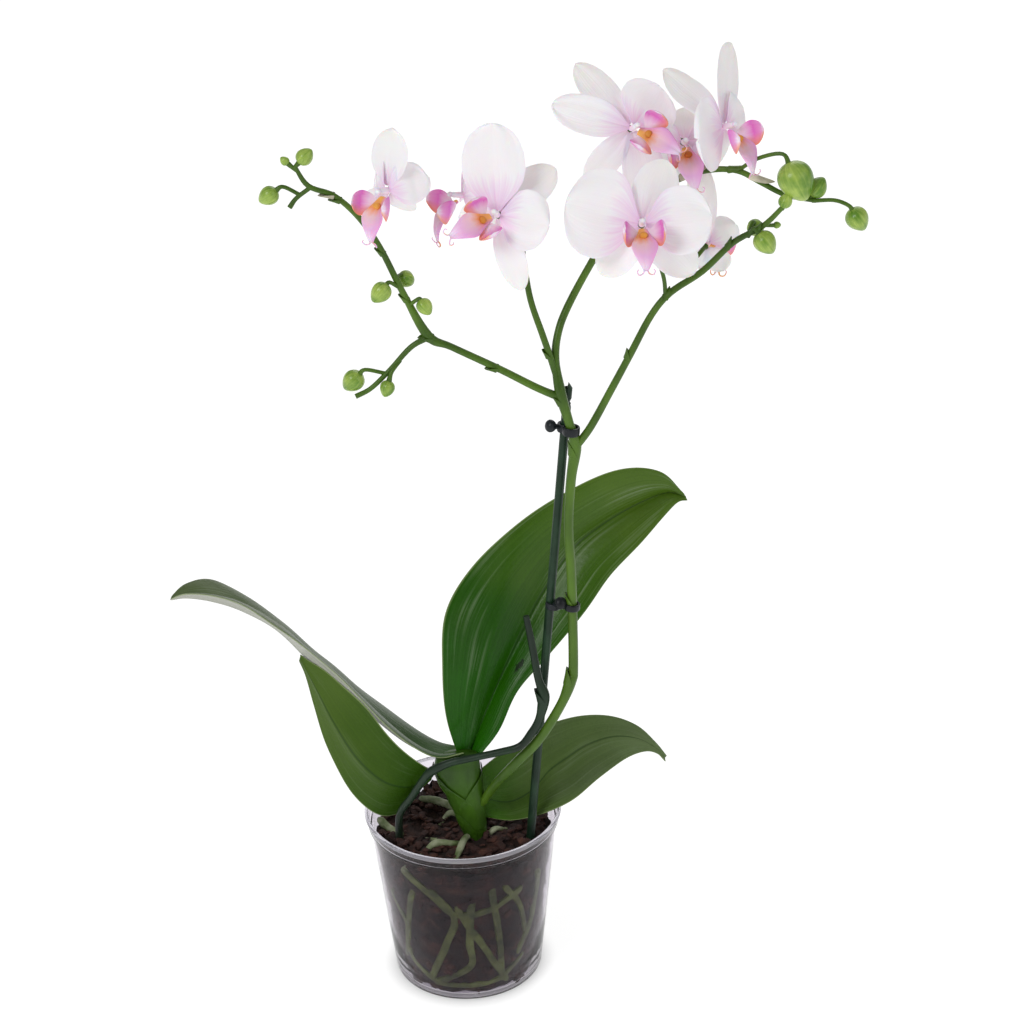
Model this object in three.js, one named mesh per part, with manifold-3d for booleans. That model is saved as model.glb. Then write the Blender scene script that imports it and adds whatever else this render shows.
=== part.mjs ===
// A moth orchid in a clear nursery pot: four leaves, one branched flowering spike
// with buds, one spike that was cut back, a support stake and two clips.
// Millimetres, +Z up. The origin is the centre of the pot's base on the ground.

import * as THREE from 'three';
import { mergeVertices } from 'three/addons/utils/BufferGeometryUtils.js';
import Module from 'manifold-3d';

const wasm = await Module();
wasm.setup();

const GAP = 0.3;                 // clearance between pieces that touch

// pot
const POT_BASE_RADIUS = 45.6;
const POT_WALL_TOP = { radius: 56.9, height: 104.5 };
const POT_RIM_RADIUS = 60;
const POT_HEIGHT = 113.6;
const POT_WALL = 1.1;
const POT_FLOOR = 3.4;
const POT_SIDES = 32;
const DRAIN_HOLES = { count: 6, radius: 3, ring: 30 };

// growing medium
const MEDIUM_TOP = 99;
const MEDIUM_BUMP = 1.5;

// stems
const CROWN = [[9, -9, 84, 6.2], [7, -8, 100, 7.4], [4, -8, 118, 8.4], [3.5, -8, 136, 8.6], [4, -7, 150, 8.2], [4.5, -6, 158, 6]];
const CROWN_SHEATH = [[4, -8, 112, 6.5], [-3, -9, 128, 7], [-8, -9.5, 141, 7.4], [-10.5, -9.5, 150, 6.2]];
const STAKE = { foot: [34, -16, 30], tip: [69, -4, 386], radius: 2.6 };

// main spike: x, y, z, radius
const SPIKE = [
  [12, -11, 122, 2.6], [22, -18, 141, 2.9], [33, -22, 156, 3], [48, -23, 174, 3], [61, -22, 196, 2.9],
  [67, -20, 211, 3.7], [69, -18.5, 222, 2.9], [69, -16, 280, 2.8], [68, -14.5, 310, 2.8], [70, -13.5, 340, 2.9],
  [73, -12.5, 362, 3.6], [70, -13.5, 376, 2.6], [65.5, -12, 394, 3.2], [63, -6, 413, 2.3], [65, 0, 427, 2.2],
  [71, 7, 440, 2.2], [84, 13, 462, 2.1], [97, 18, 481, 2.1], [115, 20, 499, 2], [134, 17, 510, 1.9],
  [150, 14, 516, 1.8], [166, 9, 517, 1.7], [179, 5, 511, 1.6], [192, 1, 505, 1.5], [208, -4, 503, 1.3],
];
const BRANCHES = [
  [[73, -12.5, 361, 2.4], [82, -13, 374, 2.3], [94, -13, 397, 2.2], [105, -12, 418, 2.1], [117, -9, 440, 2], [128, -6, 452, 2], [146, -1, 462, 1.9], [163, -2, 479, 1.8], [179, -6, 490, 1.6], [190, -8, 502, 1.4]],
  [[66, -12, 392, 2.4], [52, -10, 398, 2.2], [32, -8, 409, 2.1], [5, -6, 423, 2], [-8, -5, 430, 2.8], [-21, -3, 456, 1.9], [-32, -2, 482, 1.8], [-43, 0, 500, 1.7], [-56, 1, 513, 1.6], [-70, 2, 519, 1.5], [-77, 2, 531, 1.2]],
  [[-8, -5, 429, 1.8], [-18, -7, 424, 1.6], [-30, -10, 412, 1.5], [-41, -12, 402, 1.4], [-50, -14, 398, 1.5]],
  [[-69, 2, 518, 1.3], [-77, 2, 512, 1.3], [-81, 1, 507, 1.5]],
  [[63, -8, 405, 2], [60, -8, 416, 1.9], [56, -6, 429, 1.9], [50, -1, 448, 1.8], [47, 4, 468, 1.6], [45, 5, 480, 1.5]],
];
// buds on their pedicels: the pedicel's route to the bud's middle, and the bud's radius
const BUDS = [
  { route: [[171, -4, 483], [174, -7, 489], [180, -8, 481]], radius: 6.3 },
  { route: [[171, -4, 484], [174, 2, 489], [176, 6, 484]], radius: 4.8 },
  { route: [[189, -8, 500], [191, -8, 505]], radius: 3.9 },
  { route: [[179, -6, 490], [187, -3, 489]], radius: 2 },
  { route: [[166, 9, 517], [177, 6, 525], [190, 1, 529], [197, -3, 515]], radius: 10.2 },
  { route: [[204, -3, 503], [209, 0, 509]], radius: 5.6 },
  { route: [[206, -4, 503], [218, -4, 503], [226, -5, 500], [231, -5, 492]], radius: 6.4 },
  { route: [[-77, 2, 530], [-71, 2, 536]], radius: 4.7 },
  { route: [[-76, 2, 528], [-82, 2, 534]], radius: 2.5 },
  { route: [[-75, 2, 514], [-84, 2, 519], [-92, 2, 514]], radius: 5.3 },
  { route: [[-23, -3, 459], [-28, -7, 464], [-33, -9, 459]], radius: 5.7 },
  { route: [[-25, -3, 464], [-22, 3, 464], [-19, 6, 460]], radius: 4.8 },
  { route: [[-17, -4, 449], [-12, -8, 454], [-9, -10, 450]], radius: 4.5 },
  { route: [[-33, -10, 410], [-44, -11, 413], [-51, -10, 406]], radius: 6.1 },
  { route: [[-24, -8.5, 417], [-29, -13, 412], [-32, -15, 403]], radius: 4.3 },
];
const CUT_SPIKE = [
  [-39, -8, 80, 2.4], [-39, -14, 100, 2.4], [-37.7, -18, 120, 2.3], [-30, -21, 134, 2.3], [-22, -24, 148.5, 2.4], [-17, -25, 154.5, 2.9],
  [-5.9, -27, 161.1, 2.3], [6.1, -27, 163.8, 2.2], [24, -27, 167.6, 2.2], [36, -26, 170.6, 2.3], [43, -25, 179, 2.4], [48, -24, 188, 2.5], [51, -22, 202, 3.6], [48, -20, 214, 2.4], [45, -16, 234, 2.2], [42, -13, 252, 1.9],
];

// leaves: rails of one margin, the midrib and the other margin, foot to tip
const LEAVES = {
  leaf_upright: {
    arch: 3, thickness: 2.1,
    left: [[-1, -6, 150], [-8, -2, 179], [-9, 4, 211], [-6, 14, 241], [10, 27, 263], [36, 40, 283], [66, 52, 298], [99, 60, 309], [125, 64, 305], [140, 66, 288]],
    mid: [[5, 2, 148], [14, 7, 169], [25, 17, 190], [38, 28, 213], [54, 41, 239], [72, 52, 261], [95, 61, 275], [117, 67, 284], [131, 68, 288], [141, 66, 286]],
    right: [[12, -5, 152], [24, 0, 166], [36, 7, 189], [55, 17, 207], [78, 29, 230], [94, 40, 248], [113, 50, 264], [128, 60, 277], [136, 63, 284], [142, 65, 284]],
  },
  leaf_right: {
    arch: -2.5, thickness: 1.9,
    left: [[9, -3, 139], [22, 8, 143], [34, 20, 143], [44, 30, 144], [55, 40, 145], [75, 48, 145], [93, 50, 143], [109, 46, 138], [120, 42, 128], [127, 41, 118]],
    mid: [[10, -6, 123], [28, 0, 114], [43, 8, 117], [53, 18, 124], [63, 28, 126], [77, 36, 131], [94, 40, 134], [109, 40, 132], [120, 40, 125], [126, 40, 117]],
    right: [[12, -7, 109], [27, -9, 107], [41, -8, 108], [54, -12, 115], [68, -6, 119], [84, 13, 121], [101, 34, 121], [113, 37, 124], [121, 39, 121], [126, 39, 115]],
  },
  leaf_long: {
    arch: -2, thickness: 2,
    left: [[-1, 2, 154], [-15, 12, 153], [-36, 22, 163], [-62, 28, 184], [-84, 30, 206], [-104, 28, 228], [-124, 25, 250], [-143, 18, 266], [-157, 6, 270], [-165, -3, 267]],
    mid: [[-3, -7, 152], [-18, -8, 156], [-37, -7, 168], [-63, -6, 195], [-85, -5, 219], [-104, -5, 243], [-124, -5, 257], [-141, -5, 264], [-156, -5, 267], [-166, -5, 266]],
    right: [[3, -14, 160], [-15, -21, 162], [-37, -30, 184], [-62, -36, 221], [-81, -38, 244], [-100, -36, 261], [-119, -32, 275], [-138, -25, 279], [-155, -14, 274], [-165, -7, 267]],
  },
  leaf_low: {
    arch: 1.5, thickness: 1.9,
    left: [[-15, -13, 147], [-22, -18, 154], [-33, -20, 166], [-43, -21, 180], [-54, -21, 198], [-66, -19, 211], [-77, -16, 221], [-87, -12, 226], [-92, -10, 229]],
    mid: [[-17, -11, 143], [-25, -14, 140], [-35, -18, 140], [-48, -20, 147], [-62, -20, 164], [-74, -17, 187], [-82, -14, 206], [-88, -11, 219], [-92, -10, 227]],
    right: [[-18, -9, 138], [-27, -9, 130], [-36, -10, 117], [-51, -12, 116], [-67, -12, 133], [-80, -10, 165], [-86, -8, 193], [-90, -8, 214], [-93, -8, 224]],
  },
};

// blooms: centre, direction the bloom faces, how far the lip is turned in degrees, the
// pedicel's route to the back of the bloom, and each sepal and petal as its bearing,
// its fold forward in degrees, its length and its half width
const BLOOMS = {
  bloom_1: {
    at: [-26, -8, 519], face: [-0.6, -0.8, 0.06], lipTurn: 0, stalk: [[-36, -1, 489], [-32, 7, 500]],
    sepals: [[96, -8, 31, 13], [-62, -30, 16, 7], [-140, 4, 22, 7]], petals: [[24, -50, 22, 12], [162, -40, 22, 13]],
  },
  bloom_2: {
    at: [33, -12, 504], face: [-0.22, -0.88, 0.4], lipTurn: -58, stalk: [[45, 5, 480], [46, 8, 492]],
    sepals: [[46, -18, 39, 11], [-70, -6, 41, 8.5], [-172, -25, 26, 9]], petals: [[97, 4, 48, 18], [-7, 2, 28, 17]],
  },
  bloom_3: {
    at: [15, 26, 501], face: [-0.95, -0.3, 0.05], lipTurn: 0, stalk: [[47, 4, 468], [45, 17, 485]],
    sepals: [[90, -34, 26, 9], [-42, -30, 22, 8], [-130, -34, 24, 8]], petals: [[14, -32, 26, 13], [166, -32, 26, 13]],
  },
  bloom_4: {
    at: [111, -32, 504], face: [0.03, -0.9, 0.42], lipTurn: 0, stalk: [[125, -7, 450], [124, -8, 462], [119, -16, 480]],
    sepals: [[66, -6, 36, 12.5], [-44, -8, 38, 12], [-131, -8, 33, 11]], petals: [[3, 4, 36, 19], [163, 2, 41, 25]],
  },
  bloom_5: {
    at: [108, 8, 544], face: [0.34, -0.85, 0.36], lipTurn: 48, stalk: [[112, 20, 497], [106, 22, 514], [103, 20, 530]],
    sepals: [[118, -12, 44, 10], [-138, -10, 36, 9], [-76, -14, 38, 13]], petals: [[45, 4, 26, 18], [155, -6, 45, 11]],
  },
  bloom_6: {
    at: [158.5, 12, 541.8], face: [0.72, -0.66, 0.2], lipTurn: 0, stalk: [[142, 15.5, 513], [144.5, 20, 525]],
    sepals: [[58, -4, 46, 10], [114, -26, 42, 10], [-80, -20, 24, 9]], petals: [[178, 10, 28, 21], [6, -12, 22, 15]],
  },
  bloom_7: {
    at: [137.7, 26, 528.3], face: [0.05, -0.93, 0.3], lipTurn: 8, stalk: [[139.5, 16, 512], [140, 27, 514]],
    sepals: [[80, -20, 18, 8], [-40, -10, 18, 8], [-122, -22, 26, 8]], petals: [[10, -8, 18, 10], [165, -34, 17, 9]],
  },
  bloom_8: {
    at: [150, 23, 468], face: [0.4, 0.88, 0.1], lipTurn: 0, stalk: [[139, -3, 458], [139, 7, 461]],
    sepals: [[86, 8, 50, 9], [-60, 20, 17, 9], [-125, 16, 17, 9]], petals: [[25, 50, 20, 10], [150, 44, 18, 10]],
  },
};
const TEPAL_THICKNESS = 0.8;
const TIP_ROUNDING = 0.08;       // how far a sepal's or petal's corners fall short of its tip
const SEPAL_OUTLINE = { at: [0, 0.28, 0.6, 0.86, 1], widths: [0.2, 0.78, 1, 0.72, 0.34] };
const PETAL_OUTLINE = { at: [0, 0.2, 0.46, 0.74, 1], widths: [0.12, 0.62, 1, 0.96, 0.46] };
const LIP_SCALE = 1.5;

// roots along the inside of the wall: bearing in degrees and height, after the way out from the root crown
const WALL_ROOTS = [
  { radius: 2.5, path: [[-132, 94], [-112, 81], [-97, 68], [-73, 70], [-52, 78]] },
  { radius: 2.4, path: [[-112, 84], [-98, 66], [-105, 44], [-119, 16]] },
  { radius: 2.3, path: [[-86, 74], [-88, 46], [-88, 27], [-114, 12]] },
  { radius: 2.2, path: [[-95, 72], [-77, 40], [-60, 12]] },
  { radius: 2.2, path: [[-72, 84], [-66, 46], [-63, 14]] },
  { radius: 2.1, path: [[-128, 78], [-143, 26]] },
  { radius: 2.2, path: [[-32, 82], [-36, 52], [-48, 30]] },
  { radius: 2.3, path: [[24, 80], [18, 24]] },
  { radius: 2.3, path: [[92, 80], [84, 22]] },
  { radius: 2.3, path: [[165, 80], [172, 24]] },
];
// roots over the surface, x, y, z, radius
const SURFACE_ROOTS = [
  [[6, -2, 92, 2.6], [-4, 10, 103, 2.8], [-14, 20, 104, 2.9], [-25, 27, 102, 2.4]],
  [[5, -8, 92, 2.6], [2, -16, 101.5, 2.7], [-2, -28, 102, 2.7], [-6, -40, 97, 2.3]],
  [[4, -10, 92, 2.2], [-5, -22, 101, 2.2], [-17, -22, 101.5, 2.3], [-27, -30, 97, 2]],
  [[0, -6, 94, 2.4], [-16, -11, 101, 2.5], [-32, -9, 101.5, 2.5], [-50, 3, 101, 3.2]],
  [[12, -8, 92, 2], [19, -8, 101, 2.1], [25, -4, 98, 1.9]],
  [[4, 0, 92, 2], [-2, 6, 102, 2.2], [-9, 8, 103, 2.3], [-14, 6, 97, 2]],
];
const ROOT_CROWN = { at: [9, -8, 82], radius: 8.5 };

const finishes = {
  pot: new THREE.MeshStandardMaterial({ color: 0xd9d3e2, roughness: 0.25, metalness: 0, transparent: true, opacity: 0.35 }),
  medium: new THREE.MeshStandardMaterial({ color: 0x3a2320, roughness: 0.95, metalness: 0 }),
  root: new THREE.MeshStandardMaterial({ color: 0x8e9a6a, roughness: 0.7, metalness: 0 }),
  stem: new THREE.MeshStandardMaterial({ color: 0x4c7a34, roughness: 0.5, metalness: 0 }),
  cutStem: new THREE.MeshStandardMaterial({ color: 0x24482a, roughness: 0.5, metalness: 0 }),
  leaf: new THREE.MeshStandardMaterial({ color: 0x2f6a1a, roughness: 0.4, metalness: 0 }),
  petal: new THREE.MeshStandardMaterial({ color: 0xf6ecf6, roughness: 0.6, metalness: 0, side: THREE.DoubleSide }),
  lip: new THREE.MeshStandardMaterial({ color: 0xe06ab8, roughness: 0.55, metalness: 0 }),
  stake: new THREE.MeshStandardMaterial({ color: 0x1e3c34, roughness: 0.45, metalness: 0 }),
  clip: new THREE.MeshStandardMaterial({ color: 0x1b2026, roughness: 0.4, metalness: 0 }),
};

const vec = (p) => new THREE.Vector3(p[0], p[1], p[2]);

function closedGeometry(positions, index) {
  const geometry = new THREE.BufferGeometry();
  geometry.setAttribute('position', new THREE.Float32BufferAttribute(positions, 3));
  geometry.setIndex(index);
  return geometry;
}

function toSolid(geometry) {
  const bare = new THREE.BufferGeometry();
  bare.setAttribute('position', geometry.getAttribute('position'));
  if (geometry.index) bare.setIndex(geometry.index);
  const merged = mergeVertices(bare, 1e-3);
  const vertProperties = new Float32Array(merged.getAttribute('position').array);
  const triVerts = [];
  const order = merged.index.array;
  for (let i = 0; i < order.length; i += 3) {
    const [a, b, c] = [order[i], order[i + 1], order[i + 2]];
    if (a !== b && b !== c && c !== a) triVerts.push(a, b, c);
  }
  const solid = (turned) => new wasm.Manifold(new wasm.Mesh({
    numProp: 3,
    vertProperties,
    triVerts: Uint32Array.from(turned ? [...triVerts].reverse() : triVerts),
  }));
  const first = solid(false);
  return first.volume() < 0 ? solid(true) : first;
}

function toGeometry(solid) {
  const parts = solid.decompose().sort((a, b) => b.volume() - a.volume());
  const mesh = parts[0].getMesh();
  const geometry = closedGeometry(Array.from(mesh.vertProperties), Array.from(mesh.triVerts));
  geometry.computeVertexNormals();
  return geometry;
}

const join = (solids) => solids.reduce((all, one) => all.add(one));
const cut = (solid, tools) => tools.reduce((left, tool) => left.subtract(tool), solid);

// A stem: a closed tube through [x, y, z, radius] points, swept along a spline.
function stem(points, { sides = 6, steps = 1, grow = 0, rounded = false } = {}) {
  const route = new THREE.CatmullRomCurve3(points.map(vec), false, 'catmullrom', 0.5);
  const rings = (points.length - 1) * steps;
  const positions = [];
  const index = [];
  const side = new THREE.Vector3(1, 0.3, 0.1);
  for (let i = 0; i <= rings; i++) {
    const t = i / rings;
    const centre = route.getPoint(t);
    const along = route.getTangent(t);
    if (i === 0) centre.addScaledVector(along, -grow);
    if (i === rings) centre.addScaledVector(along, grow);
    side.addScaledVector(along, -side.dot(along)).normalize();
    const up = new THREE.Vector3().crossVectors(along, side);
    const span = Math.min(Math.floor(t * (points.length - 1)), points.length - 2);
    const local = t * (points.length - 1) - span;
    let radius = THREE.MathUtils.lerp(points[span][3], points[span + 1][3], local) + grow;
    if (rounded && i === rings) radius *= 0.55;
    for (let k = 0; k < sides; k++) {
      const turn = (2 * Math.PI * k) / sides;
      const rim = centre.clone()
        .addScaledVector(side, radius * Math.cos(turn))
        .addScaledVector(up, radius * Math.sin(turn));
      positions.push(rim.x, rim.y, rim.z);
    }
  }
  for (let i = 0; i < rings; i++) {
    for (let k = 0; k < sides; k++) {
      const a = i * sides + k;
      const b = i * sides + ((k + 1) % sides);
      index.push(a, b, a + sides, b, b + sides, a + sides);
    }
  }
  for (let k = 1; k < sides - 1; k++) {
    index.push(0, k + 1, k);
    index.push(rings * sides, rings * sides + k, rings * sides + k + 1);
  }
  return toSolid(closedGeometry(positions, index));
}

function ball(centre, radius, around = 7, down = 5) {
  const geometry = new THREE.SphereGeometry(radius, around, down);
  geometry.rotateX(Math.PI / 2);
  geometry.translate(...centre);
  return toSolid(geometry);
}

// A blade: a grid of middle points, foot to tip and margin to margin, given a
// thickness. Both faces are split along the same diagonals.
function blade(rows, thickness, grow = 0) {
  const last = rows.length - 1;
  const wide = rows[0].length - 1;
  const middle = Math.floor(wide / 2);
  const grid = rows.map((row, i) => row.map((p, j) => {
    const moved = p.clone();
    if (grow > 0) {
      if (j === 0) moved.addScaledVector(row[0].clone().sub(row[1]).normalize(), grow);
      if (j === wide) moved.addScaledVector(row[wide].clone().sub(row[wide - 1]).normalize(), grow);
      if (i === 0) moved.addScaledVector(rows[0][j].clone().sub(rows[1][j]).normalize(), grow);
      if (i === last) moved.addScaledVector(rows[last][j].clone().sub(rows[last - 1][j]).normalize(), grow);
    }
    return moved;
  }));
  const faces = [[], []];
  for (let i = 0; i <= last; i++) {
    for (let j = 0; j <= wide; j++) {
      const along = rows[Math.min(i + 1, last)][middle].clone().sub(rows[Math.max(i - 1, 0)][middle]);
      const across = rows[i][Math.min(j + 1, wide)].clone().sub(rows[i][Math.max(j - 1, 0)]);
      const normal = new THREE.Vector3().crossVectors(across, along).normalize();
      const off = Math.abs((2 * j) / wide - 1);
      const half = Math.max(thickness * (1 - 0.45 * off * off), 0.62) / 2 + grow;
      faces[0].push(grid[i][j].clone().addScaledVector(normal, half));
      faces[1].push(grid[i][j].clone().addScaledVector(normal, -half));
    }
  }
  const positions = [...faces[0], ...faces[1]].flatMap((p) => [p.x, p.y, p.z]);
  const count = (last + 1) * (wide + 1);
  const at = (i, j) => i * (wide + 1) + j;
  const index = [];
  const quad = (a, b, c, d) => index.push(a, b, c, a, c, d);
  for (let i = 0; i < last; i++) {
    for (let j = 0; j < wide; j++) {
      const [a, b, c, d] = [at(i, j), at(i, j + 1), at(i + 1, j + 1), at(i + 1, j)];
      index.push(a, b, c, a, c, d);
      index.push(a + count, c + count, b + count, a + count, d + count, c + count);
    }
    quad(at(i, 0) + count, at(i, 0), at(i + 1, 0), at(i + 1, 0) + count);
    quad(at(i, wide), at(i, wide) + count, at(i + 1, wide) + count, at(i + 1, wide));
  }
  for (let j = 0; j < wide; j++) {
    quad(at(0, j), at(0, j) + count, at(0, j + 1) + count, at(0, j + 1));
    quad(at(last, j) + count, at(last, j), at(last, j + 1), at(last, j + 1) + count);
  }
  return toSolid(closedGeometry(positions, index));
}

// Leaf rows: points across the three rails, each half arched between midrib and margin.
function leafRows({ left, mid, right, arch }, rowCount = 13, half = 2) {
  const rails = [left, mid, right].map((rail) => new THREE.CatmullRomCurve3(rail.map(vec), false, 'catmullrom', 0.5));
  const rows = [];
  for (let i = 0; i < rowCount; i++) {
    const t = i / (rowCount - 1);
    const [a, m, b] = rails.map((rail) => rail.getPoint(t));
    const along = rails[1].getTangent(t);
    const lift = new THREE.Vector3().crossVectors(b.clone().sub(a), along).normalize();
    const swell = arch * Math.min(1, a.distanceTo(b) / 60);
    const row = [];
    for (let j = -half; j <= half; j++) {
      const share = Math.abs(j) / half;
      const p = m.clone().lerp(j < 0 ? a : b, share);
      row.push(p.addScaledVector(lift, swell * Math.sin(Math.PI * share)));
    }
    rows.push(row);
  }
  return rows;
}

function pot() {
  const profile = [
    [0, 0], [20, 0], [22, 2.1], [37.5, 2.1], [39.5, 0], [43.6, 0], [POT_BASE_RADIUS, 2.2],
    [POT_WALL_TOP.radius, POT_WALL_TOP.height], [58.4, 105.2], [58.6, 110.6],
    [POT_RIM_RADIUS, 111], [POT_RIM_RADIUS - 0.3, POT_HEIGHT], [57.6, POT_HEIGHT], [57.3, 106.2],
    [POT_WALL_TOP.radius - POT_WALL, POT_WALL_TOP.height - 0.4], [POT_BASE_RADIUS - POT_WALL + 0.1, POT_FLOOR], [0, POT_FLOOR],
  ].map(([r, z]) => new THREE.Vector2(r, z));
  const shell = new THREE.LatheGeometry(profile, POT_SIDES);
  shell.rotateX(Math.PI / 2);
  const drill = [];
  for (let i = 0; i < DRAIN_HOLES.count; i++) {
    const turn = (2 * Math.PI * (i + 0.5)) / DRAIN_HOLES.count;
    const hole = new THREE.CylinderGeometry(DRAIN_HOLES.radius, DRAIN_HOLES.radius, 10, 8);
    hole.rotateX(Math.PI / 2);
    hole.translate(DRAIN_HOLES.ring * Math.cos(turn), DRAIN_HOLES.ring * Math.sin(turn), 2);
    drill.push(toSolid(hole));
  }
  return cut(toSolid(shell), drill);
}

const wallRadius = (z) => THREE.MathUtils.mapLinear(
  z, POT_FLOOR, POT_WALL_TOP.height, POT_BASE_RADIUS - POT_WALL + 0.1, POT_WALL_TOP.radius - POT_WALL) - GAP;

// The space that the medium and the wall roots share, up to the given height.
function fill(top, rings, bump) {
  const profile = [[0, POT_FLOOR + GAP], [wallRadius(POT_FLOOR + GAP), POT_FLOOR + GAP]];
  for (const z of rings) profile.push([wallRadius(z), z]);
  profile.push([wallRadius(top), top]);
  for (const share of bump ? [0.72, 0.38] : []) profile.push([wallRadius(top) * share, top]);
  profile.push([0, top]);
  const geometry = new THREE.LatheGeometry(profile.map(([r, z]) => new THREE.Vector2(r, z)), POT_SIDES);
  geometry.rotateX(Math.PI / 2);
  if (bump) {
    const p = geometry.getAttribute('position');
    for (let i = 0; i < p.count; i++) {
      const [x, y] = [p.getX(i), p.getY(i)];
      if (p.getZ(i) < top - 0.01 || Math.hypot(x, y) > wallRadius(top) - 1) continue;
      p.setZ(i, top + MEDIUM_BUMP * (Math.sin(x * 0.33 + 1.2) * Math.cos(y * 0.29) + 0.5 * Math.sin(x * 0.71 + y * 0.53)));
    }
  }
  return toSolid(geometry);
}

const onWall = (bearing, z, inset) => {
  const turn = THREE.MathUtils.degToRad(bearing);
  const r = wallRadius(z) - inset;
  return [r * Math.cos(turn), r * Math.sin(turn), z];
};

function rootRoutes() {
  const routes = WALL_ROOTS.map(({ radius, path }) => {
    const [bearing, z] = path[0];
    const turn = THREE.MathUtils.degToRad(bearing);
    const start = [...ROOT_CROWN.at, radius];
    const out = [
      (ROOT_CROWN.at[0] + wallRadius(z) * Math.cos(turn)) / 2,
      (ROOT_CROWN.at[1] + wallRadius(z) * Math.sin(turn)) / 2,
      (ROOT_CROWN.at[2] + z) / 2 - 3, radius];
    return [start, out, ...path.map(([b, h]) => [...onWall(b, h, radius * 0.45), radius])];
  });
  return [...routes, ...SURFACE_ROOTS.map((route) => [[...ROOT_CROWN.at, route[0][3]], ...route])];
}

const rootSolid = (grow) => join([
  ball(ROOT_CROWN.at, ROOT_CROWN.radius + grow),
  ...rootRoutes().map((route) => stem(route, { sides: 4, grow, rounded: true })),
]);

const crownSolid = (grow) => join([
  stem(CROWN, { sides: 8, grow }),
  stem(CROWN_SHEATH, { sides: 7, grow }),
]);

const stakeSolid = (grow) => stem(
  [[...STAKE.foot, STAKE.radius], [...STAKE.tip, STAKE.radius]], { sides: 8, grow });

const cutSpikeSolid = (grow) => stem(CUT_SPIKE, { sides: 7, grow });

// A bud ends its pedicel: the tube swells to the bud and closes at its tip.
function budSolid({ route, radius }, grow) {
  const centre = vec(route.at(-1));
  const along = centre.clone().sub(vec(route.at(-2))).normalize();
  const swelling = [[-1, 0.36], [-0.45, 0.94], [0.42, 0.94], [1.04, 0.28]].map(([offset, share]) => {
    const at = centre.clone().addScaledVector(along, offset * radius);
    return [at.x, at.y, at.z, radius * share];
  });
  const stalk = route.slice(0, -1).map((p) => [...p, Math.min(1.2, radius * 0.4)]);
  return stem([...stalk, ...swelling], { sides: radius > 9 ? 8 : radius > 3 ? 6 : 4, grow });
}

// A pedicel comes up to the back of its bloom along the way that the bloom faces.
function pedicelSolid({ stalk, at, face }, grow) {
  const back = (distance) => vec(at).addScaledVector(vec(face).normalize(), -distance).toArray();
  return stem([...stalk, back(11), back(3.35)].map((p) => [...p, 1.3]), { sides: 4, grow: Math.min(grow, 0.3) });
}

function spikeSolid(grow) {
  return join([
    stem(SPIKE, { sides: 6, grow }),
    ...BRANCHES.map((branch) => stem(branch, { sides: 5, grow })),
    ...Object.values(BLOOMS).map((spec) => pedicelSolid(spec, grow)),
    ...BUDS.map((bud) => budSolid(bud, grow)),
  ]);
}

// Blooms are made facing +Z with +Y up, then turned and placed.
function bloomFrame({ at, face }) {
  const z = vec(face).normalize();
  const x = new THREE.Vector3().crossVectors(new THREE.Vector3(0, 0, 1), z).normalize();
  const y = new THREE.Vector3().crossVectors(z, x);
  return new THREE.Matrix4().makeBasis(x, y, z).setPosition(...at);
}

// A sepal or petal: it leaves the hub at its bearing, folds forward or back and dishes.
function tepal(frame, outline, [bearing, fold, length, half], { layer, curl, dish, columns }) {
  const start = 1.9;
  const turn = THREE.MathUtils.degToRad(bearing);
  const lean = THREE.MathUtils.degToRad(fold);
  return outline.at.map((u, i) => {
    const row = [];
    for (let j = 0; j < columns; j++) {
      const v = (2 * j) / (columns - 1) - 1;
      const outward = start + length * (u - TIP_ROUNDING * u * u * v * v);
      const bend = lean * Math.min(1, 0.35 + u);
      const rise = layer + curl * u * u + dish * v * v * outline.widths[i] * (1 - u) + (outward - start) * Math.sin(bend);
      const reach = start + (outward - start) * Math.cos(bend);
      const across = v * half * outline.widths[i];
      row.push(new THREE.Vector3(
        reach * Math.cos(turn) + across * Math.sin(turn),
        reach * Math.sin(turn) - across * Math.cos(turn),
        rise).applyMatrix4(frame));
    }
    return row;
  });
}

// The hub behind the petals runs on into the column in front of them.
function bloomCore(frame, grow) {
  const profile = [[0, -3], [2.4, -2.3], [3.1, 0], [2.3, 2.6], [2.2, 6.4], [1.3, 8.6], [0, 9]];
  const geometry = new THREE.LatheGeometry(profile.map(([r, z]) => new THREE.Vector2(r, z)), 6);
  geometry.rotateX(Math.PI / 2);
  const p = geometry.getAttribute('position');
  for (let i = 0; i < p.count; i++) p.setY(i, p.getY(i) + 0.16 * Math.max(0, p.getZ(i)));
  if (grow) geometry.scale(1 + grow / 2.2, 1 + grow / 2.2, 1 + grow / 3);
  return toSolid(geometry.applyMatrix4(frame));
}

function bloom(spec, grow = 0) {
  const frame = bloomFrame(spec);
  const sepals = spec.sepals.map((shape) => blade(
    tepal(frame, SEPAL_OUTLINE, shape, { layer: -1.5, curl: -3, dish: 0.8, columns: 3 }), TEPAL_THICKNESS, grow));
  const petals = spec.petals.map((shape) => blade(
    tepal(frame, PETAL_OUTLINE, shape, { layer: 1, curl: -0.5, dish: 2.2, columns: 4 }), TEPAL_THICKNESS, grow));
  return join([bloomCore(frame, grow), ...sepals, ...petals]);
}

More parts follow.
